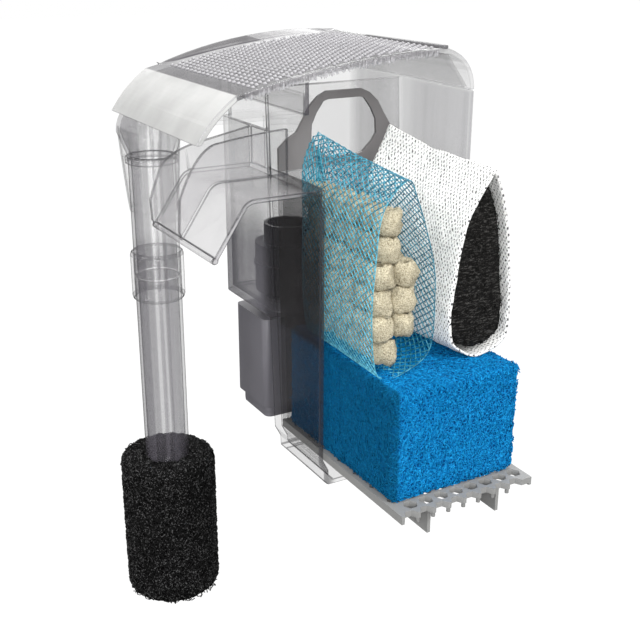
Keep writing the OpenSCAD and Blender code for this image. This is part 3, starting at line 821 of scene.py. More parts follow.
def turned(
    profile: Sequence[Point], centre: Point, closed: bool = True, steps: int = 96
) -> bmesh.types.BMesh:
    """A body turned round an upright axis.

    Args:
        profile: Radius and height of each point, in millimetres.
        centre: The axis's X and Y, in millimetres.
        closed: Whether the profile's end joins its start.
        steps: Sides of the round.

    Returns:
        The mesh.
    """
    shape = bmesh.new()
    verts = [shape.verts.new(metres((centre[0] + r, centre[1], z))) for r, z in profile]
    pairs = list(zip(verts, verts[1:])) + ([(verts[-1], verts[0])] if closed else [])
    edges = [shape.edges.new(pair) for pair in pairs]
    bmesh.ops.spin(
        shape,
        geom=verts + edges,
        cent=metres((*centre, 0)),
        axis=(0, 0, 1),
        angle=FULL_TURN,
        steps=steps,
        use_merge=True,
    )
    bmesh.ops.remove_doubles(shape, verts=shape.verts, dist=1e-7)
    bmesh.ops.recalc_face_normals(shape, faces=shape.faces)
    return shape


def soft_box(low: Vector, high: Vector, edge: float) -> bmesh.types.BMesh:
    """A box with rounded edges.

    Args:
        low: Its lowest corner, in metres.
        high: Its highest corner, in metres.
        edge: How far its edges are cut back, in millimetres.

    Returns:
        The mesh.
    """
    shape = bmesh.new()
    place = Matrix.Translation((low + high) / 2) @ Matrix.Diagonal((*(high - low), 1))
    bmesh.ops.create_cube(shape, size=1, matrix=place)
    bmesh.ops.bevel(
        shape,
        geom=shape.edges[:],
        offset=edge * MM,
        affect="EDGES",
        segments=3,
        profile=0.5,
        material=-1,
    )
    return shape


def repeated(shape: bmesh.types.BMesh, places: Sequence[Matrix]) -> bmesh.types.BMesh:
    """Copies of a small mesh.

    Args:
        shape: The mesh, which is used up.
        places: Where each copy goes.

    Returns:
        One mesh with every copy.
    """
    one = bpy.data.meshes.new("one")
    shape.to_mesh(one)
    shape.free()
    made = bmesh.new()
    for place in places:
        one.transform(place)
        made.from_mesh(one)
        one.transform(place.inverted())
    bpy.data.meshes.remove(one)
    return made


def loose_boxes(mesh: bpy.types.Mesh) -> list[tuple[Vector, Vector]]:
    """The boxes of a mesh's separate parts.

    Args:
        mesh: The mesh.

    Returns:
        Each part's lowest and highest corner.
    """
    shape = bmesh.new()
    shape.from_mesh(mesh)
    bmesh.ops.remove_doubles(shape, verts=shape.verts, dist=1e-6)
    left, made = set(shape.verts), []
    while left:
        part, edge = set(), [left.pop()]
        while edge:
            vert = edge.pop()
            part.add(vert)
            for link in vert.link_edges:
                other = link.other_vert(vert)
                if other in left:
                    left.remove(other)
                    edge.append(other)
        low, high = (
            Vector([pick(v.co[k] for v in part) for k in range(3)]) for pick in (min, max)
        )
        made.append((low, high))
    shape.free()
    return sorted(made, key=lambda pair: tuple(round(c, 4) for c in pair[0]))


def roughened(shape: bmesh.types.BMesh, size: float, depth: float, seed: int) -> None:
    """Moves points along their normals by noise.

    Args:
        shape: The mesh.
        size: Size of the features, in millimetres.
        depth: How far points move, in millimetres.
        seed: Which noise.
    """
    shape.normal_update()
    offset = Vector((seed * 1.7, seed * 0.9, seed * 2.3))
    moved = [
        (v, v.normal * noise.fractal(v.co / (size * MM) + offset, 0.6, 2.1, 3) * depth * MM)
        for v in shape.verts
    ]
    for vert, step in moved:
        vert.co += step


def threads(
    name: str, paths: Iterable[Sequence[Vector]], thickness: float, joined: bool = False
) -> bpy.types.Mesh:
    """Many thin threads as one mesh.

    Args:
        name: The mesh's name.
        paths: The points that each thread follows, in metres.
        thickness: A thread's thickness, in millimetres.
        joined: Whether each thread ends where it starts.

    Returns:
        The mesh.
    """
    curve = bpy.data.curves.new(name, "CURVE")
    curve.dimensions = "3D"
    curve.bevel_depth = thickness / 2 * MM
    curve.bevel_resolution = 0
    curve.use_fill_caps = not joined
    for path in paths:
        spline = curve.splines.new("POLY")
        spline.points.add(len(path) - 1)
        spline.points.foreach_set("co", [c for p in path for c in (*p, 1.0)])
        spline.use_cyclic_u = joined
    holder = bpy.data.objects.new(name, curve)
    mesh = bpy.data.meshes.new_from_object(holder)
    bpy.data.objects.remove(holder)
    bpy.data.curves.remove(curve)
    return mesh


def spots(
    shape: bmesh.types.BMesh, count: int, draw: random.Random
) -> list[tuple[Vector, Vector]]:
    """Places spread evenly over a mesh.

    Args:
        shape: The mesh.
        count: How many places.
        draw: The random numbers.

    Returns:
        Each place and the surface's normal there.
    """
    shape.normal_update()
    faces = list(shape.faces)
    sums, total = [], 0.0
    for face in faces:
        total += face.calc_area()
        sums.append(total)
    made = []
    for _ in range(count):
        face = faces[bisect.bisect_left(sums, draw.random() * total)]
        corners = [v.co for v in face.verts]
        a, b = draw.random(), draw.random()
        low = corners[0].lerp(corners[1], a)
        high = corners[-1].lerp(corners[2 % len(corners)], a)
        made.append((low.lerp(high, b), face.normal.copy()))
    return made


@dataclass(frozen=True)
class Fuzz:
    """Curly strands that stand out of a surface, in millimetres."""

    count: int
    length: float
    thickness: float
    rise: float
    bend: float = 0.5
    upright: float = 0.0
    points: int = 4

    def paths(self, shape: bmesh.types.BMesh, seed: int) -> list[list[Vector]]:
        """Lays the strands on a mesh.

        Args:
            shape: The mesh.
            seed: Which random numbers.

        Returns:
            The points of each strand, in metres.
        """
        draw = random.Random(seed)
        made = []
        for place, normal in spots(shape, self.count, draw):
            loose = Vector((draw.gauss(0, 1), draw.gauss(0, 1), draw.gauss(0, 1)))
            loose.z *= 1 + 3 * self.upright
            along = (loose - normal * loose.dot(normal)).normalized()
            side = normal.cross(along)
            length = self.length * draw.uniform(0.6, 1.3) * MM
            curl = self.bend * length * draw.choice((-1, 1)) * draw.uniform(0.4, 1)
            rise = self.rise * draw.uniform(0.3, 1) * MM
            path = []
            for step in range(self.points):
                t = step / (self.points - 1)
                arch = math.sin(math.pi * t)
                lift = rise * arch - self.thickness * 0.4 * MM
                path.append(place + along * (t - 0.5) * length + side * curl * arch + normal * lift)
            made.append(path)
        return made


# ---------------------------------------------------------------- pieces


@dataclass
class Assembly:
    """What every sub-assembly shares: making pieces and dressing the frame's own nodes."""

    frame: dict[str, Any]

    def build(self) -> None:
        """Makes and dresses the sub-assembly's pieces."""
        raise NotImplementedError

    def piece(
        self,
        name: str,
        mesh: bmesh.types.BMesh | bpy.types.Mesh,
        finish: Finish,
        body: Body,
        slot: str,
        *stands_for: str,
    ) -> bpy.types.Object:
        """Turns a mesh into a piece of the model.

        Args:
            name: The piece's name.
            mesh: Its mesh, in the frame's axes and in metres.
            finish: What it is made of.
            body: What it moves with.
            slot: The record's material slot; not used.
            stands_for: The nodes that it replaces.

        Returns:
            The object.
        """
        if isinstance(mesh, bmesh.types.BMesh):
            data = bpy.data.meshes.new(name)
            mesh.to_mesh(data)
            mesh.free()
        else:
            data = mesh
        data.name = name
        data.materials.append(finish.made())
        data.polygons.foreach_set("use_smooth", [True] * len(data.polygons))
        made = bpy.data.objects.new(name, data)
        bpy.context.scene.collection.objects.link(made)
        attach(made, body.value)
        if stands_for:
            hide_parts(*stands_for)
        LOG.info("%s: %d faces on %s", name, len(data.polygons), body.value)
        return made

    def dress(self, node: str, finish: Finish, edge: float = 0.0, line: Finish | None = None) -> None:
        """Gives one of the frame's nodes its material, and softens its edges.

        Args:
            node: The node's name.
            finish: What it is made of.
            edge: Width of its softened edges, in millimetres.
            line: What its softened edges look like, if they differ.
        """
        made = self.frame["nodes"][node]
        made.data.materials.clear()
        made.data.materials.append(finish.made())
        if line:
            made.data.materials.append(line.made())
        if edge:
            weld = made.modifiers.new("weld", "WELD")
            weld.merge_threshold = 1e-5
            soft = made.modifiers.new("soft edges", "BEVEL")
            soft.width = edge * MM
            soft.segments = 2
            soft.limit_method = "ANGLE"
            soft.angle_limit = math.radians(35)
            soft.harden_normals = True
            soft.use_clamp_overlap = not line
            soft.material = 1 if line else -1
        LOG.info("%s dressed", node)


EDGE = EdgePlastic("plastic edge", (0.045, 0.043, 0.05), face=0.62, edge=0.3, shine=0.5)


@dataclass
class ClearCase(Assembly):
    """The clear case with its spillway."""

    plastic: Finish = CasePlastic("clear case", (0.035, 0.033, 0.037), face=0.07, edge=0.35)

    def build(self) -> None:
        """Dresses the case."""
        self.dress("filter_case", self.plastic, 0.7, EDGE)


@dataclass
class Lid(Assembly):
    """The clear lid: pale lip, studded top, ragged cut edge and dark rail."""

    far: float = -80.0
    stud_pitch: Point = (5.4, 3.3)
    stud_size: Place = (1.5, 0.95, 0.9)
    rail_box: tuple[Place, Place] = ((-38, 92.4, 69.6), (CUT_PLANE, 95.6, 71.7))
    plastic: Finish = LidPlastic(
        "clear lid", (0.20, 0.195, 0.205), face=0.075, edge=0.35, shine=0.12
    )
    # The studs' pale colour is a painted highlight on each stud.
    stud: Finish = ClearPlastic(
        "lid studs", (0.46, 0.45, 0.47), face=0.6, edge=0.4, roughness=0.04, shine=0.6
    )
    drop: Finish = ClearPlastic(
        "broken edge", (0.62, 0.61, 0.63), face=0.35, edge=0.4, shine=0.6
    )
    rail: Finish = ClearPlastic("lid rail", (0.07, 0.066, 0.075), face=0.55, edge=0.3)

    def build(self) -> None:
        """Dresses the lid's shell and makes its studs, cut edge and rail."""
        self.dress("lid", self.plastic, 0.7, EDGE)
        top = Outline(bow(LID_TOP, 60))
        self.studs(top)
        self.cut_edge(top)
        self.rear_rail()

    def studs(self, top: Outline) -> None:
        """Makes the studs of the top in rows.

        Args:
            top: The top's outside, as Y and Z.
        """
        places = []
        wide, deep = self.stud_pitch
        start, end = 11, 3  # where the rows start and stop, from the front and from the back
        for row in range(int((top.reach[-1] - start - end) / deep)):
            share = (start + row * deep) / top.reach[-1]
            here, ahead = top.at(share), top.at(share + 0.01)
            tilt = Matrix.Rotation(math.atan2(ahead[1] - here[1], ahead[0] - here[0]), 4, "X")
            x = self.far + 14.5 + (row % 2) * wide / 2
            while x < CUT_PLANE - 1.5:
                places.append(Matrix.Translation(metres((x, here[0], here[1]))) @ tilt)
                x += wide
        size = Matrix.Diagonal((*metres(self.stud_size), 1))
        stud = bmesh.new()
        bmesh.ops.create_uvsphere(stud, u_segments=8, v_segments=5, radius=1, matrix=size)
        self.piece("lid_studs", repeated(stud, places), self.stud, Body.LID, "clear_lid")

    def cut_edge(self, top: Outline) -> None:
        """Makes the ragged drops under the top where the section breaks it.

        Args:
            top: The top's outside, as Y and Z.
        """
        draw = random.Random(17)
        count, width = 230, 1.6
        places = []
        for step in range(count):
            here, long = top.at(0.045 + 0.93 * step / count), draw.uniform(1.0, 2.4)
            spot = (CUT_PLANE - draw.uniform(0.4, 2.0), here[0], here[1] - 1.2 - long * 0.7)
            size = (draw.uniform(0.3, 0.6), draw.uniform(0.25, 0.5), long / width, 1)
            places.append(Matrix.Translation(metres(spot)) @ Matrix.Diagonal(size))
        drop = bmesh.new()
        bmesh.ops.create_uvsphere(drop, u_segments=6, v_segments=5, radius=width * MM)
        self.piece("lid_cut_drops", repeated(drop, places), self.drop, Body.LID, "clear_lid")

    def rear_rail(self) -> None:
        """Makes the dark rail along the top's rear edge, which sinks at its far end."""
        low, high = (metres(corner) for corner in self.rail_box)
        shape = soft_box(low, high, 0.7)
        ends = [v for v in shape.verts if v.co.x < low.x + 2 * MM]
        bmesh.ops.translate(shape, verts=ends, vec=metres((0, 0, -0.8)))
        self.piece("lid_rear_rail", shape, self.rail, Body.LID, "clear_lid")


@dataclass
class Basket(Assembly):
    """The smoked basket and its grid."""

    smoke: Finish = BasketPlastic(
        "smoked plastic",
        (0.012, 0.0105, 0.010),
        face=0.14,
        edge=0.25,
        roughness=0.15,
        shine=0.1,
    )
    grey: Finish = MouldedPlastic("grid plastic", (0.30, 0.30, 0.295), cover=0.88)

    def build(self) -> None:
        """Dresses the basket and the grid."""
        self.dress("basket", self.smoke, 0.5)
        self.dress("basket_grid", self.grey, 0.25)


@dataclass
class Foam(Assembly):
    """The blue foam insert with its curly fibres."""

    fuzz: Fuzz = Fuzz(6900, 6.0, 0.6, 0.8, bend=0.3, upright=0.55)
    # Both foam finishes darken the side that faces the tank as painted shade.
    deep: Finish = FoamFinish(
        "foam body", (0.001, 0.19, 0.47), deep=(0.0006, 0.05, 0.17), painted_shade_on_tank_side=0.78
    )
    strand: Finish = FoamFinish(
        "foam fibres", (0.004, 0.24, 0.53), deep=(0.0008, 0.12, 0.33), raised=True, painted_shade_on_tank_side=0.85
    )

    def block(self) -> bmesh.types.BMesh:
        """Makes the insert's body in faces that are fine enough to roughen.

        Returns:
            The mesh, just inside the frame's own block.
        """
        low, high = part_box("foam_block")
        inside = metres((0.3, 0.3, 0.3))
        shape = soft_box(low + inside, high - inside, 3)
        for _ in range(6):
            long = [e for e in shape.edges if e.calc_length() > 2.4 * MM]
            if not long:
                break
            bmesh.ops.subdivide_edges(shape, edges=long, cuts=1, use_grid_fill=True)
        return shape

    def build(self) -> None:
        """Makes the block and its fibres."""
        shape = self.block()
        bundles = [self.fuzz.paths(shape, seed) for seed in (11, 12)]
        roughened(shape, 2.0, 0.7, 3)
        body = self.piece("foam_body", shape, self.deep, Body.BASKET, "blue_foam", "foam_block")
        for number, paths in enumerate(bundles, 1):
            name = f"foam_fibres_{number}"
            mesh = threads(name, paths, self.fuzz.thickness)
            self.piece(name, mesh, self.strand, Body.BASKET, "blue_foam")


@dataclass
class MediaBag(Assembly):
    """The form that both media bags share: an outline across the bag, changing along it.

    A station is a share of the length, and there the Y of the tank side, the width, the height
    and the share of the width where the bag is highest.
    """

    stations: Sequence[Sequence[float]] = ()
    ends: Point = (0.0, 85.0)
    foot: float = -88.2

    def fit(self, low: Vector, high: Vector) -> None:
        """Takes the bag's ends and foot from its lowest and highest corner, in metres."""
        self.ends, self.foot = (low.x / MM, high.x / MM), low.z / MM

    def shape(self, peak: float) -> list[Point]:
        """The outline as shares of the width and the height."""
        raise NotImplementedError

    def station(self, share: float) -> list[float]:
        """Reads the stations.

        Args:
            share: The share of the length.

        Returns:
            The tank side, width, height and peak there.
        """
        for a, b in zip(self.stations, self.stations[1:]):
            if share <= b[0] or b is self.stations[-1]:
                t = (share - a[0]) / (b[0] - a[0])
                return [p + (q - p) * t for p, q in zip(a[1:], b[1:])]
        raise ValueError(share)

    def length_at(self, share: float) -> float:
        """The X at a share of the length."""
        return self.ends[0] + (self.ends[1] - self.ends[0]) * share

    def inner(self, along: float, across: float, up: float) -> Vector:
        """A point inside the bag.

        Args:
            along: Its share of the length.
            across: Its share of the width there.
            up: Its share of the height there.

        Returns:
            The point, in metres.
        """
        lean, wide, high, _ = self.station(along)
        return metres((self.length_at(along), lean + wide * across, self.foot + high * up))

    def surface(self, inset: float) -> Callable[[float, float], Vector]:
        """The bag's surface, whose far end draws together.

        Args:
            inset: How far it is drawn in, in millimetres.

        Returns:
            A function that gives the point at shares round and along the bag.
        """
        kept: dict[float, Outline] = {}

        def place(around: float, along: float) -> Vector:
            """The surface's point.

            Args:
                around: Its share of the way round the bag.
                along: Its share of the length.

            Returns:
                The point, in metres.
            """
            key = round(along, 5)
            lean, wide, high, peak = self.station(along)
            if key not in kept:
                across = [(lean + wide * a, self.foot + high * b) for a, b in self.shape(peak)]
                kept[key] = Outline(rounded(across), closed=True)
            spot = kept[key].at(around)
            middle = Vector((lean + wide / 2, self.foot + high / 2))
            spot = spot - (spot - middle).normalized() * inset
            if along < 0.08:
                spot = middle.lerp(spot, math.sqrt(max(along, 0.0) / 0.08))
            return metres((self.length_at(along), *spot))

        return place


@dataclass
class NetBag(MediaBag):
    """The net bag and the ceramic rings in it."""

    stations: Sequence[Sequence[float]] = (
        (0, 24.6, 32.8, 116.5, 0.26),
        (0.45, 24.5, 33, 108, 0.44),
        (1, 21.8, 39, 103, 0.5),
    )
    around: int = 64
    along: int = 36
    thread: float = 0.62
    net: Finish = ThreadFinish("net thread", (0.12, 0.49, 0.64), second=(0.004, 0.13, 0.20))
    ceramic: Finish = SandyCeramic("sandy ceramic", (0.66, 0.60, 0.44))

    def shape(self, peak: float) -> list[Point]:
        """The outline across the bag.

        Args:
            peak: The share of the width where it is highest.

        Returns:
            The points, as shares of the width and the height.
        """
        near = 0.04 if peak > 0.3 else 0.015
        low = [(0.16, 0), (0.5, 0), (0.94, 0.1), (1, 0.38), (0.96, 0.56)]
        crown = [(peak + 0.31, 0.75), (peak + 0.16, 0.9), (peak, 1), (max(peak - 0.36, 0.03), 0.86)]
        return low + crown + [(near, 0.6), (0, 0.37), (0.04, 0.12)]

    def build(self) -> None:
        """Makes the net and fills it with rings."""
        self.fit(*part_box("net_bag"))
        place = self.surface(0.4)
        paths = [
            [
                place(((k + turn * step / 2) / self.around) % 1.0, 0.01 + 0.99 * step / self.along)
                for step in range(self.along + 1)
            ]
            for turn in (1, -1)
            for k in range(self.around)
        ]
        mesh = threads("net", paths, self.thread)
        net = self.piece("net_bag_threads", mesh, self.net, Body.BASKET, "net_fabric", "net_bag")
        net.visible_shadow = False  # threads this fine throw no shadow that the eye sees
        steps = self.around * 3
        hem = threads("hem", [[place(k / steps, 1.0) for k in range(steps)]], self.thread, joined=True)
        self.piece("net_bag_hem", hem, self.net, Body.BASKET, "net_fabric")
        self.rings()

    def rings(self) -> None:
        """Makes a lumpy ring where each of the frame's rings stands."""
        draw = random.Random(5)
        shape = bmesh.new()
        for low, high in loose_boxes(self.frame["nodes"]["ceramic_rings"].data):
            size = (high - low) / MM
            wide, tall = size.x * draw.uniform(0.98, 1.06), size.z * draw.uniform(0.97, 1.05)
            ring = self.ring(wide, tall, draw)
            lean = Matrix.Rotation(draw.uniform(-0.14, 0.14), 4, "X")
            tilt = lean @ Matrix.Rotation(draw.uniform(-0.14, 0.14), 4, "Y")
            ring.transform(Matrix.Translation((low + high) / 2) @ tilt)
            one = bpy.data.meshes.new("ring")
            ring.to_mesh(one)
            ring.free()
            shape.from_mesh(one)
            bpy.data.meshes.remove(one)
        self.piece("lumpy_rings", shape, self.ceramic, Body.BASKET, "ceramic", "ceramic_rings")

    def ring(self, size: float, length: float, draw: random.Random) -> bmesh.types.BMesh:
        """One ring about the origin.

        Args:
            size: Its outside diameter.
            length: Its length.
            draw: The random numbers.

        Returns:
            The mesh.
        """
        r, b, h = size / 2, 2.6, length / 2
        rise = [(r - 2.6, -h), (r - 1.2, -h + 0.8), (r - 0.3, -h + 2.4), (r, -1.5), (r, 1.5)]
        fall = [(r - 0.3, h - 2.4), (r - 1.2, h - 0.8), (r - 2.6, h), (b + 1, h), (b, h - 1)]
        shape = turned([(b, -h + 1), (b + 1, -h)] + rise + fall, (0, 0), steps=28)
        turn = Matrix.Rotation(draw.uniform(0, 6), 3, "Z")
        bmesh.ops.rotate(shape, verts=shape.verts, matrix=turn)
        roughened(shape, 6.0, 1.9, draw.randrange(99))
        return shape


@dataclass
class CarbonBag(MediaBag):
    """The punched white bag and its carbon."""

    stations: Sequence[Sequence[float]] = (
        (0, 64, 33, 116.5, 0.47),
        (0.45, 67, 35, 106, 0.6),
        (1, 71, 40, 102, 0.6),
    )
    cloth: Finish = PunchedCloth("punched cloth", (0.92, 0.92, 0.90), across=126, along=39)
    black: Finish = Charcoal("activated carbon", (0.006, 0.0058, 0.0055))
    fuzz: Fuzz = Fuzz(3800, 3.2, 0.45, 0.7)

    def shape(self, peak: float) -> list[Point]:
        """The outline across the bag.

        Args:
            peak: The share of the width where it is highest.

        Returns:
            The points, as shares of the width and the height.
        """
        low = [(0.45, 0), (0.8, 0.03), (1, 0.12), (0.97, 0.45)]
        crown = [(peak + 0.24, 0.78), (peak + 0.05, 0.98), (peak, 1), (peak - 0.1, 0.94)]
        near = [(peak - 0.38, 0.77), (0.09, 0.58), (0, 0.3), (0.02, 0.14), (0.16, 0.06)]
        return low + crown + near

    def build(self) -> None:
        """Makes the bag and its filling."""
        self.fit(*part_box("carbon_bag"))
        shape = laid_grid(200, 48, self.surface(0.3))
        roughened(shape, 9.0, 0.5, 4)
        name = "carbon_bag_cloth"
        bag = self.piece(name, shape, self.cloth, Body.BASKET, "white_fabric", "carbon_bag")
        wall = bag.modifiers.new("cloth", "SOLIDIFY")
        wall.thickness = 1.0 * MM
        wall.offset = -1
        self.filling()

    def filling(self) -> None:
        """Makes the carbon: closed at its far end and hollowed where the bag opens."""
        side = self.surface(1.9)
        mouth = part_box("carbon_fill")[1].x / MM - 0.8
        start, end = 0.09, (mouth - self.ends[0]) / (self.ends[1] - self.ends[0])
        cap, open_from, drawn_in = 0.04, 0.75, 0.12
        heart, pin = self.inner(end, 0.55, 0.4), self.inner(end, 0.12, 0.36)
        rear = self.inner(start, 0.5, 0.4)

        def place(around: float, along: float) -> Vector:
            """The carbon's point.

            Args:
                around: Its share of the way round.
                along: Its share of the way from the far end to the middle of the mouth.

            Returns:
                The point, in metres.
            """
            length = min(max(along - cap, 0.0) / (open_from - cap), 1.0)
            spot = rear.lerp(side(around, start + (end - start) * length), min(along / cap, 1.0))
            slack = drawn_in * max(0.0, length - 0.4) / 0.6
            spot = spot.lerp(Vector((spot.x, pin.y, pin.z)), slack)
            return spot.lerp(heart, max(0.0, along - open_from) / (1 - open_from))

        shape = laid_grid(110, 48, place)
        bmesh.ops.recalc_face_normals(shape, faces=shape.faces)
        paths = self.fuzz.paths(shape, 21)
        roughened(shape, 2.2, 0.6, 8)
        self.piece("carbon_body", shape, self.black, Body.BASKET, "carbon", "carbon_fill")
        grains = threads("carbon_grains", paths, self.fuzz.thickness)
        self.piece("carbon_grains", grains, self.black, Body.BASKET, "carbon")


SMOKE: Colour = (0.115, 0.107, 0.125)
TUBE = TubePlastic("clear tube", SMOKE, face=0.15, edge=0.32, roughness=0.06)
COUPLER = TubePlastic("clear coupler", SMOKE, face=0.02, edge=0.25, roughness=0.06, painted_bands=0.1)
TUBE_EDGE = ClearPlastic("tube edge", (0.20, 0.195, 0.21), face=0.12, edge=0.15, shine=0.6)
TUBE_RIM = ClearPlastic("tube rim", (0.08, 0.075, 0.088), face=0.28, edge=0.4, shine=0.9)


@dataclass(frozen=True)
class Sleeve:
    """A straight sleeve: what it moves with, its bore and how far its edges are drawn in."""

    node: str
    body: Body
    bore: float
    edge: float
    finish: Finish


@dataclass
class Intake(Assembly):
    """The intake tubes, collar and coupler."""

    sleeves: Sequence[Sleeve] = (
        Sleeve("intake_collar", Body.INTAKE, 13.8, 0.8, COUPLER),
        Sleeve("coupler_sleeve", Body.INTAKE, 13.9, 1.6, COUPLER),
        Sleeve("extension_tube", Body.EXTENSION, 11.7, 0.5, TUBE),
    )
    film: Finish = ClearPlastic("clear skirt", (0.10, 0.095, 0.11), face=0.0, edge=0.45, power=5.0)

    def build(self) -> None:
        """Dresses the duct and turns the straight pieces."""
        self.dress("intake_u_tube", TUBE, 0.22, TUBE_EDGE)
        self.dress("inner_leg", TUBE)
        for sleeve in self.sleeves:
            self.turn(sleeve)
        self.skirt()
        self.air_pipe()

    def turn(self, sleeve: Sleeve) -> None:
        """Turns a straight sleeve where one of the frame's stands.

        Args:
            sleeve: How it is made.
        """
        node, inner, edge = sleeve.node, sleeve.bore, sleeve.edge
        low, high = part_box(node)
        r, z0, z1 = (high.x - low.x) / 2 / MM, low.z / MM, high.z / MM
        foot = [(inner, z0 + 0.3), (inner + 0.3, z0), (r - edge, z0)]
        side = [(r - edge * 0.3, z0 + edge * 0.5), (r, z0 + edge * 1.5), (r, z1 - edge * 1.5)]
        head = [(r - edge * 0.3, z1 - edge * 0.5), (r - edge, z1), (inner + 0.3, z1)]
        shape = turned(foot + side + head + [(inner, z1 - 0.3)], INTAKE_AXIS)
        for face in shape.faces:
            height = face.calc_center_median().z / MM
            if min(height - z0, z1 - height) < edge * 1.2:
                face.material_index = 1
        name = f"{node}_turned"
        made = self.piece(name, shape, sleeve.finish, sleeve.body, "clear_tube", node)
        made.data.materials.append(TUBE_RIM.made())

    def skirt(self) -> None:
        """Makes the clear skirt that tapers from the duct down to the tube."""
        foot, top, radius, half = -22.0, 24.0, 13.9, (18.0, 16.0)
        x, y = INTAKE_AXIS

        def squared(value: float) -> float:
            """A sine or cosine bent so that the round turns into a rounded square."""
            return math.copysign(abs(value) ** 0.667, value)

        def place(around: float, along: float) -> Vector:
            """The skirt's point.

            Args:
                around: Its share of the way round.
                along: Its share of the way up.

            Returns:
                The point, in metres.
            """
            c, s = math.cos(FULL_TURN * around), math.sin(FULL_TURN * around)
            low = Vector((x + radius * c, y + radius * s, foot))
            high = Vector((x - 3 + half[0] * squared(c), y + half[1] * squared(s), top))
            spot = low.lerp(high, along**0.8)
            spot.z = foot + (top - foot) * along
            return metres(spot)

        shape = laid_grid(72, 10, place)
        bmesh.ops.recalc_face_normals(shape, faces=shape.faces)
        made = self.piece("intake_skirt", shape, self.film, Body.INTAKE, "clear_tube")
        made.modifiers.new("wall", "SOLIDIFY").thickness = 0.6 * MM

    def air_pipe(self) -> None:
        """Turns the small pipe with a double rim inside the duct."""
        pipe = [(1.8, 6), (2.8, 6), (2.8, 21.5)]
        rims = [(4.4, 22.2), (4.4, 22.9), (3.7, 23.3), (4.4, 23.7), (4.4, 24.4), (1.8, 24.6)]
        shape = turned(pipe + rims, (-63.2, -43.4), steps=40)
        self.piece("air_pipe", shape, self.film, Body.INTAKE, "clear_tube")


@dataclass
class Sponge(Assembly):
    """The prefilter sponge with its curly fibres, and the strainer in it."""

    radius: float = 28.6
    bore: float = 13.9
    fuzz: Fuzz = Fuzz(6900, 5.0, 0.7, 1.1)
    deep: Finish = FoamFinish("sponge body", (0.004, 0.004, 0.004), deep=(0.0005, 0.0005, 0.0005))
    # The sponge's fibres are near black, with light specks as painted glints.
    strand: Finish = FoamFinish(
        "sponge fibres",
        (0.075, 0.075, 0.075),
        deep=(0.0005, 0.0005, 0.0005),
        raised=True,
        glint=0.12,
        painted_glint_and_tone_from=(0.5, 0.66),
        speck=1100,
    )
    dark: Finish = MouldedPlastic("dark plastic", (0.02, 0.02, 0.023))

    def profile(self) -> list[Point]:
        """Follows the sponge's outside and its bore from the foot's middle.

        Returns:
            The radius and height of each point.
        """
        low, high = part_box("prefilter_sponge")
        z0, z1 = low.z / MM + 0.3, high.z / MM - 0.6
        r, top = self.radius, self.radius - 4
        foot = [(0.01, z0)] + [(r * k / 16, z0) for k in range(1, 16)]
        foot += [(r - 2.5, z0 + 0.3), (r - 0.8, z0 + 2)]
        side = [(r, z0 + 5 + k * (z1 - z0 - 10) / 46) for k in range(47)]
        crown = [(r - 0.8, z1 - 2), (r - 2.5, z1 - 0.3)]
        crown += [(top - (top - self.bore) * k / 7, z1) for k in range(8)]
        return foot + side + crown + [(self.bore, z1 - 6), (self.bore, z0 + 8), (0.01, z0 + 8)]

    def build(self) -> None:
        """Makes the sponge and its fibres, and dresses the strainer."""
        shape = turned(self.profile(), INTAKE_AXIS, closed=False, steps=150)
        paths = self.fuzz.paths(shape, 31)
        roughened(shape, 2.2, 0.8, 6)
        name, node = "sponge_body_foam", "prefilter_sponge"
        body = self.piece(name, shape, self.deep, Body.SPONGE, "black_sponge", node)
        fibres = threads("sponge_fibres", paths, self.fuzz.thickness)
        self.piece("sponge_fibres", fibres, self.strand, Body.SPONGE, "black_sponge")
        self.dress("intake_strainer", self.dark)


@dataclass
class MotorUnit(Assembly):
    """The motor unit, the impeller and its cover."""

    # The shell has painted shade on its side towards +X.
    shell: Finish = MouldedPlastic(
        "motor plastic", (0.17, 0.165, 0.185), roughness=0.35, painted_shade_from_x=-34.5
    )

    def build(self) -> None:
        """Dresses every node of the unit."""
        dark = MouldedPlastic("cover plastic", (0.018, 0.018, 0.022), roughness=0.3)
        rubber = MouldedPlastic("black rubber", (0.02, 0.02, 0.02), roughness=0.7)
        finishes = {
            "motor_base": self.shell,
            "base_screws": MetalFinish("screw steel", (0.62, 0.62, 0.64)),
            "stator_core": MetalFinish("laminations", (0.33, 0.34, 0.36), 0.4, (0.1, 0.1, 8)),
            "stator_coil": MetalFinish("copper wire", (0.62, 0.28, 0.10), 0.25, (0.1, 4, 4)),
            "motor_seal": rubber,
            "cord_gland": dark,
            "impeller_shaft": MouldedPlastic("shaft ceramic", (0.8, 0.8, 0.77), roughness=0.12),
            "lower_bush": rubber,
            "upper_bush": rubber,
            "rotor_magnet": MetalFinish("ferrite", (0.07, 0.07, 0.075), 0.5),
            "impeller": MouldedPlastic("impeller plastic", (0.7, 0.7, 0.67)),
            "impeller_cover": dark,
        }
        self.dress("motor_housing", self.shell, 0.4)
        for node, finish in finishes.items():
            self.dress(node, finish)


# ---------------------------------------------------------------- stage


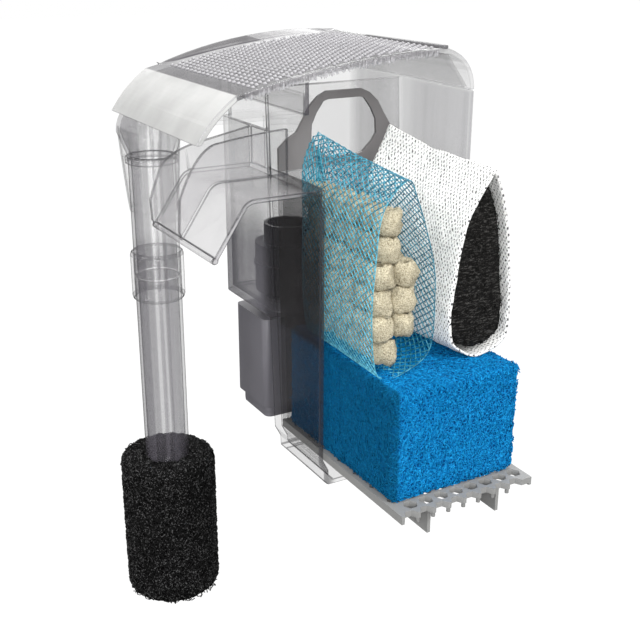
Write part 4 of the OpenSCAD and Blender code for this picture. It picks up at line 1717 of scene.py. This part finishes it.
@dataclass
class Studio:
    """The camera, the lamps, the floor and the world."""

    eye: Place = (490.44, -240.01, 126.82)
    azimuth: float = 60.125
    elevation: float = 20.642
    roll: float = 0.238
    focal: float = 57.893
    floor: float = -370.0

    def build(self) -> None:
        """Sets the stage."""
        scene = bpy.context.scene
        scene.view_settings.view_transform = "Standard"
        scene.cycles.transparent_max_bounces = 48
        self.camera()
        self.lamp("key", (900, 250, 700), (0, 20, -60), (500, 500), 9)
        self.lamp("fill", (100, -1100, 450), (0, 20, -80), (500, 900), 6)
        self.lamp("front", (950, -470, 260), (20, 40, -60), (600, 600), 8)
        self.lamp("back", (-700, 700, 700), (0, 20, -60), (800, 500), 5)
        self.sky()
        self.lay_floor()

    def place(self, name: str, data: bpy.types.ID, at: Vector, ahead: Vector) -> bpy.types.Object:
        """Puts a camera or a lamp into the scene.

        Args:
            name: Its name.
            data: What it is.
            at: Where it stands, in metres.
            ahead: The way that it looks.

        Returns:
            The object.
        """
        made = bpy.data.objects.new(name, data)
        made.location = at
        made.rotation_mode = "QUATERNION"
        made.rotation_quaternion = ahead.to_track_quat("-Z", "Y")
        bpy.context.scene.collection.objects.link(made)
        return made

    def camera(self) -> None:
        """Places the camera."""
        data = bpy.data.cameras.new("camera")
        data.sensor_width = 36
        data.lens = self.focal
        data.clip_start, data.clip_end = 0.01, 20
        a, e = math.radians(self.azimuth), math.radians(self.elevation)
        ahead = Vector((-math.sin(a) * math.cos(e), math.cos(a) * math.cos(e), -math.sin(e)))
        made = self.place("camera", data, metres(self.eye), ahead)
        turn = Matrix.Rotation(math.radians(self.roll), 3, "Z").to_quaternion()
        made.rotation_quaternion = made.rotation_quaternion @ turn
        bpy.context.scene.camera = made

    def lamp(self, name: str, place: Place, aim: Place, size: Point, power: float) -> None:
        """Hangs a soft rectangular lamp.

        Args:
            name: Its name.
            place: Where it hangs, in millimetres.
            aim: What it points at, in millimetres.
            size: Its width and height, in millimetres.
            power: Its power in watts.
        """
        data = bpy.data.lights.new(name, "AREA")
        data.shape = "RECTANGLE"
        data.size, data.size_y = size[0] * MM, size[1] * MM
        data.energy = power
        self.place(name, data, metres(place), metres(aim) - metres(place))

    def sky(self) -> None:
        """Makes the world white to the camera and a little dimmer as a light."""
        graph = Graph("studio", "worlds")
        seen = graph.out(graph.add("ShaderNodeLightPath"), "Is Camera Ray")
        light, white = (
            graph.add("ShaderNodeBackground", inputs={"Color": (1, 1, 1), "Strength": strength})
            for strength in (0.85, 1.0)
        )
        shader = graph.out(graph.mixed(seen, light, white))
        graph.add("ShaderNodeOutputWorld", inputs={"Surface": shader})
        bpy.context.scene.world = graph.block

    def lay_floor(self) -> None:
        """Lays the white floor, which keeps the object's shadow."""
        graph = Graph("floor")
        path = graph.add("ShaderNodeLightPath")
        seen = graph.out(path, "Is Camera Ray") + graph.out(path, "Is Transmission Ray")
        matt = graph.add("ShaderNodeBsdfDiffuse", inputs={"Color": (0.10, 0.10, 0.10)})
        unlit, glow = (
            graph.add("ShaderNodeEmission", inputs={"Color": (1, 1, 1), "Strength": strength})
            for strength in (0.0, 0.93)
        )
        lit = graph.mixed(seen.clamped(), unlit, glow)
        both = graph.add("ShaderNodeAddShader", inputs={0: graph.out(matt), 1: graph.out(lit)})
        graph.add("ShaderNodeOutputMaterial", inputs={"Surface": graph.out(both)})
        middle = Matrix.Translation(metres((0, 0, self.floor)))
        shape = bmesh.new()
        bmesh.ops.create_grid(shape, x_segments=1, y_segments=1, size=6, matrix=middle)
        data = bpy.data.meshes.new("floor")
        shape.to_mesh(data)
        shape.free()
        data.materials.append(graph.block)
        made = bpy.data.objects.new("floor", data)
        bpy.context.scene.collection.objects.link(made)


ASSEMBLIES = (ClearCase, Lid, Basket, Foam, NetBag, CarbonBag, Intake, Sponge, MotorUnit)


def main() -> None:
    """Builds every sub-assembly round the frame and sets the stage."""
    layout = "%(name)s %(relativeCreated)6.0f ms: %(message)s"
    logging.basicConfig(level=logging.INFO, format=layout)
    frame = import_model()
    Studio().build()
    for assembly in ASSEMBLIES:
        assembly(frame).build()


if __name__ == "__main__":
    main()
